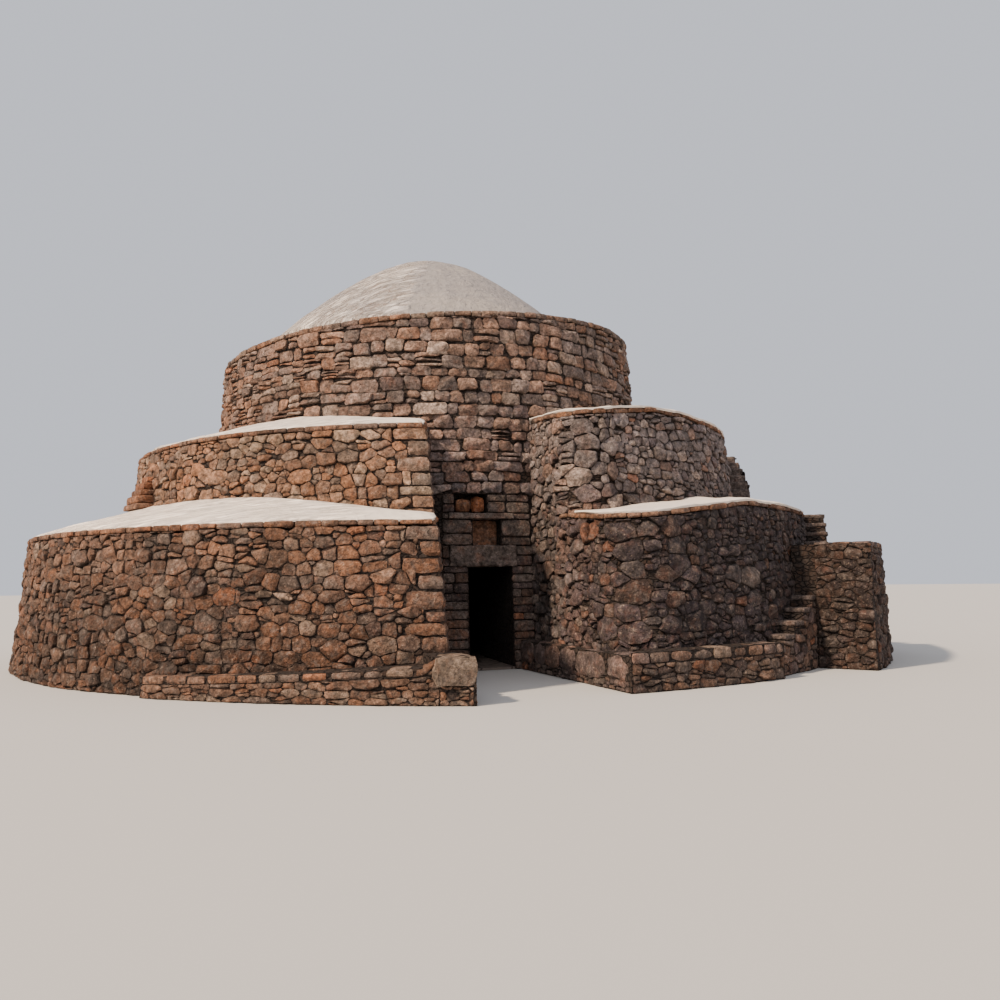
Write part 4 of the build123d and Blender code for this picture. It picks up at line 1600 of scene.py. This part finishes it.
class STONEHOUSE_OT_dome(bpy.types.Operator):
    """Shapes the plastered dome as one uneven hand-made surface."""

    bl_idname = "stonehouse.dome"
    bl_label = "Dome"

    def execute(self, context):
        low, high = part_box("dome")
        centre_x = (low.x + high.x) / 2
        radius = (high.y - low.y) / 2
        profile = self.profile(centre_x, radius, low.z)
        mesh = bpy.data.meshes.new("dome_profile")
        mesh.from_pydata(profile, [(i, i + 1) for i in range(len(profile) - 1)], [])
        piece = add_object("dome_shell", mesh)
        edit_all(
            lambda: bpy.ops.mesh.spin(steps=220, angle=math.tau, center=(centre_x, 0, 0), axis=(0, 0, 1)),
            lambda: bpy.ops.mesh.select_all(action="SELECT"),
            lambda: bpy.ops.mesh.remove_doubles(threshold=0.001),
            lambda: bpy.ops.mesh.normals_make_consistent(inside=False),
        )
        self.roughen(mesh, centre_x, radius, low.z)
        bpy.ops.object.shade_smooth()
        face_up(mesh)
        settle(piece, "dome_plaster", ["dome"])
        return {"FINISHED"}

    def profile(self, centre_x, radius, foot):
        """Half outline of the dome, and of its skirt on the rim, which starts a metre too low."""
        dome = Survey("dome")
        outs = [radius * share * 0.985 for share in np.linspace(0, 1, 56)]
        turns = np.linspace(0, 6.28, 24)

        def height_at(out):
            spots = ((centre_x + out * math.cos(turn), out * math.sin(turn)) for turn in turns)
            return float(np.median([dome.drop(x, y, foot) for x, y in spots]))

        heights = np.array([height_at(out) for out in outs])
        for _ in range(30):
            padded = np.concatenate(([heights[1]], heights, [heights[-1]]))
            heights[:-2] = ((padded[:-2] + 2 * padded[1:-1] + padded[2:]) / 4)[:-2]
        points = [(centre_x + out, 0, float(z)) for out, z in zip(outs, heights)]
        skirt = (0.995, 1.03, 1.065, 1.095, 1.105)
        return points + [(centre_x + radius * share, 0, foot - 1) for share in skirt]

    def roughen(self, mesh, centre_x, radius, foot):
        """Lays the skirt on the rim and gives the dome its swells and trowel ridges."""
        crown = Survey("drum_crown", "drum_coping")
        for vertex in mesh.vertices:
            p = vertex.co
            out = math.hypot(p.x - centre_x, p.y)
            floor = crown.drop(p.x, p.y, foot)
            if p.z < foot - 0.5:
                lift = 0.03 if out < radius * 1.1 else -0.03
                p.z = floor + lift + noise.noise(Vector((p.x * 3, p.y * 3, 5))) * 0.012
                continue
            swell = noise.noise(Vector((p.x * 0.6, p.y * 0.6, 3))) * 0.05
            swell += noise.noise(Vector((p.x * 2.2, p.y * 2.2, p.z))) * 0.018
            turn = math.atan2(p.y, p.x - centre_x)
            streak = noise.noise(Vector((math.cos(turn) * 7 + out * 0.4, math.sin(turn) * 7, out * 0.8)))
            swell += streak * 0.022 * min(1.0, out) * (1.5 if p.x < 0 else 0.6)
            p.z = max(p.z + swell * min(1.0, (radius - out) / 0.5), floor + 0.03)


class STONEHOUSE_OT_doorway(bpy.types.Operator):
    """Dresses the doorway: jamb blocks, lintel, relieving niche and the recess over it."""

    bl_idname = "stonehouse.doorway"
    bl_label = "Doorway"

    def execute(self, context):
        sizes, colours, rng, heap = begin(seed=71)
        radius = drum_wall().radius
        face = Face(round_stations(drum_wall(), -16, 18, 0.25))
        # Painted shade: the doorway's blocks get a dark purplish mix
        shade = mix_of(colours, dusk=1.5, brown=0.4, grey=2.0, rust=0.02)

        def mark(x):
            return radius * (math.asin(x / radius) + math.radians(16))

        def stack(x_low, x_high, z_low, z_high, high, split):
            beds = quoin_rows(rng, z_low, z_high, high)
            for bottom, top in zip(beds, beds[1:]):
                cuts = [x_low, x_high]
                if rng.random() < split:
                    cuts.insert(1, x_low + (x_high - x_low) * rng.uniform(0.38, 0.62))
                for start, end in zip(cuts, cuts[1:]):
                    out = sizes.relief * rng.uniform(0.5, 1.1)
                    place = on_face(
                        face, mark(start) + 0.005, mark(end) - 0.005, bottom + 0.006, top - 0.006, -0.06, out,
                    )
                    lay_block(heap, "block", place, mixed_tint(rng, shade), rng, 0.012)

        jamb_left, jamb_right, lintel, slab, cheek_left, cheek_right, recess, core = (
            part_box(name) for name in (
                "door_jamb_left", "door_jamb_right", "door_lintel", "relieving_slab", "niche_cheek_left",
                "niche_cheek_right", "upper_niche_stones", "over_door_core",
            )
        )
        niche_left, niche_right = cheek_left[1].x, cheek_right[0].x
        bed = 0.005
        levels = (
            (jamb_left[1].x, jamb_right[0].x, 0.0, lintel[0].z, (0.17, 0.3), (0.18, 0.35)),
            (lintel[0].x, lintel[1].x, lintel[0].z, lintel[1].z, (0.2, 0.0), (0.19, 0.0)),
            (niche_left, niche_right, lintel[1].z + bed, slab[0].z - bed, (0.2, 0.5), (0.24, 0.3)),
            (slab[0].x, slab[1].x, slab[0].z, slab[1].z, (0.12, 0.0), (0.12, 0.0)),
            (recess[0].x, recess[1].x, slab[1].z + bed, recess[1].z, (0.2, 0.0), (0.19, 0.6)),
        )
        for left, right, bottom, top, left_blocks, right_blocks in levels:
            stack(jamb_left[0].x, left - 0.01, bottom, top, *left_blocks)
            stack(right + 0.01, jamb_right[1].x, bottom, top, *right_blocks)
        heap.piece("doorway_blocks", "rubble_stone")

        heap = Heap()
        wide = recess[1].x - recess[0].x
        for start, end, lower, tone in ((0.0, 0.55, 0.09, "ochre"), (0.56, 1.0, 0.02, "rust")):
            place = on_face(
                face, mark(recess[0].x + wide * start) + 0.006, mark(recess[0].x + wide * end) - 0.006,
                recess[0].z + 0.003, recess[1].z - lower, -0.35, -0.05 * rng.uniform(0.6, 1.3),
            )
            lay_block(heap, "boulder", place, toned(colours, **{tone: 1}), rng, 0.03)
        back = core[0].y
        place = between(
            (niche_left - 0.02, back - 0.035, lintel[1].z), (niche_right + 0.02, back + 0.1, slab[0].z),
        )
        lay_block(heap, "slab", place, toned(colours, brown=0.7, ochre=0.5), rng, 0.02)
        heap.piece("recess_stones", "rust_stone", ["upper_niche_stones"])
        # The lintel's tint takes a little of the painted-shade purple
        for node, rough, tint in (
            ("door_lintel", 0.085, toned(colours, dusk=0.25, grey=0.95)),
            ("relieving_slab", 0.025, toned(colours, grey=1.25)),
        ):
            wear_stone(node, 0.014, rough, tint)
        return {"FINISHED"}


class STONEHOUSE_OT_benches(bpy.types.Operator):
    """Lays the benches: flat slabs on top, rubble below, and the big blocks at the passage."""

    bl_idname = "stonehouse.benches"
    bl_label = "Benches"

    def execute(self, context):
        _, colours, rng, heap = begin(seed=97)
        self.left_bench(colours, rng, heap)
        self.right_bench(colours, rng, Heap())
        self.passage_bench(colours, rng, Heap())
        return {"FINISHED"}

    def left_bench(self, colours, rng, heap):
        warm = mix_of(colours, tan=1.4, ochre=0.7, brown=1.0, grey=0.7, pale=0.6, rust=0.1)
        low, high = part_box("bench_left")
        corner_low, corner_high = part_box("bench_corner_block")
        survey = Survey("bench_left", "bench_corner_block")
        start = bearing_of(Vector((low.x, high.y, 0)))
        end = bearing_of(Vector((corner_high.x, corner_low.y, 0)))
        face = seen_face(survey, np.linspace(start + 0.3, end - 0.2, 60), 0.12)
        corner_mark = face.mark_near(corner_low)
        top = top_along(face, survey, 0.0, 0.06)
        cap = 0.11
        span = (0.0, corner_mark)
        lay_caps(heap, face, top, span, cap, rng, warm, survey)
        bond = Bond(0.26, 0.13, waver=0.08, swing=0.01, spread=0.4, chips=0.1)
        # Painted shade: the front face of the left bench is darkened by LEFT_BENCH_SHADE
        field(
            heap, face, bond, rng, 0.0, lambda u: top(u) - cap, warm, span, relief=0.04,
            grade=LEFT_BENCH_SHADE,
        )
        block_foot = 0.25
        small = Bond(0.2, 0.12)
        end_face = cross_face(
            np.array((corner_high.x, 0.0)), np.array((0.0, 1.0)), (1, 0),
            np.linspace(corner_low.y + 0.02, corner_high.y, 12),
        )
        for side, span in ((face, (corner_mark, face.length)), (end_face, None)):
            field(heap, side, small, rng, 0.0, block_foot, warm, span, relief=0.04)
        place = between(
            (corner_low.x + 0.01, corner_low.y - 0.03, block_foot),
            (corner_high.x + 0.03, corner_low.y + 0.62, corner_high.z + 0.01),
        )
        lay_block(heap, "slab", place, toned(colours, pale=0.8), rng, 0.05)
        place = between(
            (corner_low.x + 0.01, corner_low.y + 0.63, block_foot),
            (corner_high.x + 0.02, corner_high.y, corner_high.z - 0.02),
        )
        lay_block(heap, "block", place, toned(colours, grey=1), rng, 0.03)
        left_end = cross_face(
            face.at(0.0, 0.0, 0.0)[:2], np.array(outwards(start))[:2], outwards(start - 90),
            -np.linspace(0.45, 0.0, 6),
        )
        field(heap, left_end, small, rng, 0.0, top(0.0) - 0.01, warm, relief=0.03)
        heap.piece("bench_left_stones", "bench_stone")

    def right_bench(self, colours, rng, heap):
        # Painted shade: the right bench's stones take some of the dark purplish tone, and its front face is
        # darkened further by RIGHT_BENCH_SHADE
        palette = mix_of(colours, tan=1.2, ochre=0.3, brown=0.8, grey=1.4, pale=0.7, dusk=0.6, rust=0.1)
        low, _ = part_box("bench_right_front")
        survey = Survey("bench_right_front")
        face = seen_face(survey, np.linspace(bearing_of(low) - 0.5, 30, 120), 0.12, beyond=8.95)
        top = top_along(face, survey, 0.0, 0.08)
        cap = 0.16
        lay_caps(heap, face, top, (0.0, face.length), cap, rng, palette, survey)
        field(
            heap, face, Bond(0.25, 0.15), rng, 0.0, lambda u: top(u) - cap, palette, relief=0.045,
            grade=RIGHT_BENCH_SHADE,
        )
        x, y, nx, ny, _ = face.rows[-1]
        end_face = cross_face(np.array((x, y)), np.array((-nx, -ny)), (-ny, nx), np.linspace(0.0, 0.5, 6))
        field(heap, end_face, Bond(0.2, 0.15), rng, 0.0, top(face.length), palette, relief=0.04)
        heap.piece("bench_right_front_stones", "bench_stone")

    def passage_bench(self, colours, rng, heap):
        # Painted shade: the passage bench's stones get a dark purplish mix; its big blocks are lifted by a
        # quarter
        dim = mix_of(colours, dusk=1.4, brown=0.4, grey=2.0, rust=0.03)
        low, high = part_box("bench_right_passage")
        survey = Survey("bench_right_passage")
        rows = []
        for y in np.linspace(high.y - 0.02, low.y + 0.05, 60):
            point, _, _, _ = survey.tree.ray_cast(Vector((-0.4, y, 0.15)), Vector((1, 0, 0)))
            if point is not None:
                rows.append((point.x, point.y, -1.0, -0.11, 0.0))
        face = Face(rows)
        top = top_along(face, survey, 0.0, 0.06)
        foot = 0.14
        u = 0.0
        while u < face.length - 0.05:
            wide = rng.uniform(0.45, 0.6) if u < face.length * 0.5 else rng.uniform(0.75, 1.05)
            end = face.length if face.length - u - wide < 0.35 else u + wide
            depth = depth_behind(face, (u + end) / 2, survey, least=0.12, most=0.8, step=0.04)
            bottom = foot * rng.uniform(0.6, 0.9)
            place = on_face(face, u - 0.03, end + 0.03, bottom, lambda s: top(s) + 0.02, -depth, 0.06)
            lay_block(heap, "boulder", place, mixed_tint(rng, dim) * 1.25, rng, 0.05)
            u = end
        field(heap, face, Bond(0.22, 0.12), rng, 0.0, foot * 1.2, dim, relief=0.04)
        heap.piece("bench_right_passage_stones", "bench_stone")


class STONEHOUSE_OT_stairs(bpy.types.Operator):
    """Lays the flank stair, its buttress and the short upper flight."""

    bl_idname = "stonehouse.stairs"
    bl_label = "Stairs"

    def execute(self, context):
        sizes, colours, rng, heap = begin(seed=131)
        # Painted shade: the stair's stones and its worn treads get dark purplish mixes
        shade = mix_of(colours, dusk=1.3, brown=1.3, grey=0.8, rust=0.1)
        for node, voxel in (("stair_treads", 0.022), ("upper_steps_right", 0.03)):
            wear_stone(node, voxel, 0.03, toned(colours, grey=0.5, dusk=0.4))
        bond = Bond(sizes.stone_length, sizes.stone_height)
        self.buttress(heap, bond, rng, shade)
        side = seen_face(Survey("stair_masonry"), np.linspace(*STAIR_SIDE, 40), height=0.2, batter=0.02)
        treads = Survey("stair_masonry", "stair_treads")
        top = top_along(side, treads, height=1.0, inset=0.08, under=0.1)
        field(heap, side, bond, rng, 0.0, top, shade, relief=0.04)
        steps = Survey("upper_steps_right")
        height = UPPER_FLIGHT_HEIGHT
        flight = seen_face(steps, np.linspace(*UPPER_FLIGHT, 50), height)
        top = top_along(flight, steps, height, inset=0.06, under=0.05)
        foot = foot_along(flight, terrace("lower").tops, height, clear=0.1, default=2.8)
        flat = Bond(0.34, 0.12, swing=0.0, splits=0.0, coursed=True)
        field(heap, flight, flat, rng, foot, top, shade, relief=0.02)
        heap.piece("stair_stones", "rubble_stone")
        return {"FINISHED"}

    def buttress(self, heap, bond, rng, shade):
        """Stones on the three free faces of the buttress, and three courses of slabs on its top."""
        bearings = np.linspace(BUTTRESS_START + 0.5, 65, 60)
        face = seen_face(Survey("stair_buttress"), bearings, height=0.3, batter=0.04)
        near, far = (
            cross_face(Vector(), outwards(bearing), outwards(bearing + turn), np.linspace(*reach, 8))
            for bearing, turn, reach in (
                (BUTTRESS_START, -90, BUTTRESS_NEAR_REACH), (BUTTRESS_END, 90, BUTTRESS_FAR_REACH),
            )
        )
        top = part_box("stair_buttress")[1].z
        # Painted shade: the buttress's outer face is darkened, and its near end more so
        for side, grade in ((face, BUTTRESS_SHADE), (near, BUTTRESS_NEAR_SHADE), (far, 1.0)):
            field(heap, side, bond, rng, 0.0, top, shade, grade=grade)
        for inner, outer in BUTTRESS_COURSES:
            start = BUTTRESS_START + 0.2
            while start < BUTTRESS_END - 0.1:
                end = start + math.degrees(rng.uniform(0.3, 0.55) / outer)
                end = BUTTRESS_END if end > BUTTRESS_END - 0.9 else end

                def place(a, b, c):
                    way = outwards(start + 0.06 + (end - start - 0.12) * a)
                    spot = way * (inner + 0.01 + (outer - inner - 0.02) * b)
                    return np.array((spot.x, spot.y, top - 0.06 + 0.1 * c))

                lay_block(heap, "slab", place, mixed_tint(rng, shade), rng, 0.012)
                start = end


class STONEHOUSE_OT_stage(bpy.types.Operator):
    """Sets the floor, the lights and the camera."""

    bl_idname = "stonehouse.stage"
    bl_label = "Stage"

    def execute(self, context):
        deselect()
        bpy.ops.mesh.primitive_circle_add(vertices=96, radius=150, fill_type="NGON", location=(0, 0, -0.005))
        floor = context.object
        floor.name = "studio_floor"
        floor.data.materials.append(MATERIALS["pale_floor"])
        world = bpy.data.worlds.new("pale_room")
        context.scene.world = world
        world.use_nodes = True
        background = world.node_tree.nodes["Background"]
        background.inputs["Color"].default_value = (0.85, 0.88, 0.98, 1)
        background.inputs["Strength"].default_value = 0.87
        self.sun("key_light", strength=7.3, tone=(1.0, 0.8, 0.6), bearing=-70, height=42, softness=4)
        self.sun("front_light", strength=1.05, tone=(1.0, 0.93, 0.86), bearing=-25, height=30, softness=60)
        self.camera(context, context.scene.stage_settings)
        return {"FINISHED"}

    def sun(self, name, strength, tone, bearing, height, softness):
        """A sun that shines from a bearing and a height, in degrees."""
        light = bpy.data.lights.new(name, "SUN")
        light.energy = strength
        light.color = tone
        light.angle = math.radians(softness)
        rise = math.radians(height)
        away = outwards(bearing) * math.cos(rise) + Vector((0, 0, math.sin(rise)))
        lamp = add_object(name, light)
        lamp.location = away * 40
        lamp.rotation_euler = away.to_track_quat("Z", "Y").to_euler()

    def camera(self, context, view):
        data = bpy.data.cameras.new("photo_camera")
        data.lens = view.lens
        data.sensor_width = 36
        data.clip_end = 500
        camera = add_object("photo_camera", data)
        forward = Vector((
            math.sin(view.heading) * math.cos(view.pitch),
            math.cos(view.heading) * math.cos(view.pitch),
            math.sin(view.pitch),
        ))
        right = Vector((math.cos(view.heading), -math.sin(view.heading), 0))
        up = right.cross(forward)
        across = right * math.cos(view.roll) - up * math.sin(view.roll)
        upright = right * math.sin(view.roll) + up * math.cos(view.roll)
        turn = Matrix((across, upright, -forward)).transposed()
        camera.matrix_world = Matrix.Translation((view.eye_x, view.eye_y, view.eye_height)) @ turn.to_4x4()
        context.scene.camera = camera


class STONEHOUSE_PT_panel(bpy.types.Panel):
    """Lists the sizes, the colours and the steps of the dressing."""

    bl_idname = "STONEHOUSE_PT_panel"
    bl_label = "Stone House"
    bl_space_type = "VIEW_3D"
    bl_region_type = "UI"
    bl_category = "Stone House"

    def draw(self, context):
        for group in (context.scene.stone_sizes, context.scene.stone_colours, context.scene.stage_settings):
            box = self.layout.box()
            for name in group.bl_rna.properties.keys():
                if name not in ("rna_type", "name"):
                    box.prop(group, name)
        for operator in OPERATORS:
            self.layout.operator(operator.bl_idname)


OPERATORS = (
    STONEHOUSE_OT_materials,
    STONEHOUSE_OT_lower_walls,
    STONEHOUSE_OT_upper_walls,
    STONEHOUSE_OT_drum,
    STONEHOUSE_OT_rims,
    STONEHOUSE_OT_plaster,
    STONEHOUSE_OT_dome,
    STONEHOUSE_OT_doorway,
    STONEHOUSE_OT_benches,
    STONEHOUSE_OT_stairs,
    STONEHOUSE_OT_stage,
)
GROUPS = (StoneSizes, StoneColours, StageSettings)


def register():
    for item in (*GROUPS, *OPERATORS, STONEHOUSE_PT_panel):
        bpy.utils.register_class(item)
    bpy.types.Scene.stone_sizes = PointerProperty(type=StoneSizes)
    bpy.types.Scene.stone_colours = PointerProperty(type=StoneColours)
    bpy.types.Scene.stage_settings = PointerProperty(type=StageSettings)


def unregister():
    del bpy.types.Scene.stone_sizes
    del bpy.types.Scene.stone_colours
    del bpy.types.Scene.stage_settings
    for item in reversed((*GROUPS, *OPERATORS, STONEHOUSE_PT_panel)):
        bpy.utils.unregister_class(item)


def main():
    register()
    for operator in OPERATORS:
        getattr(bpy.ops.stonehouse, operator.bl_idname.split(".")[1])()


if __name__ == "__main__":
    main()
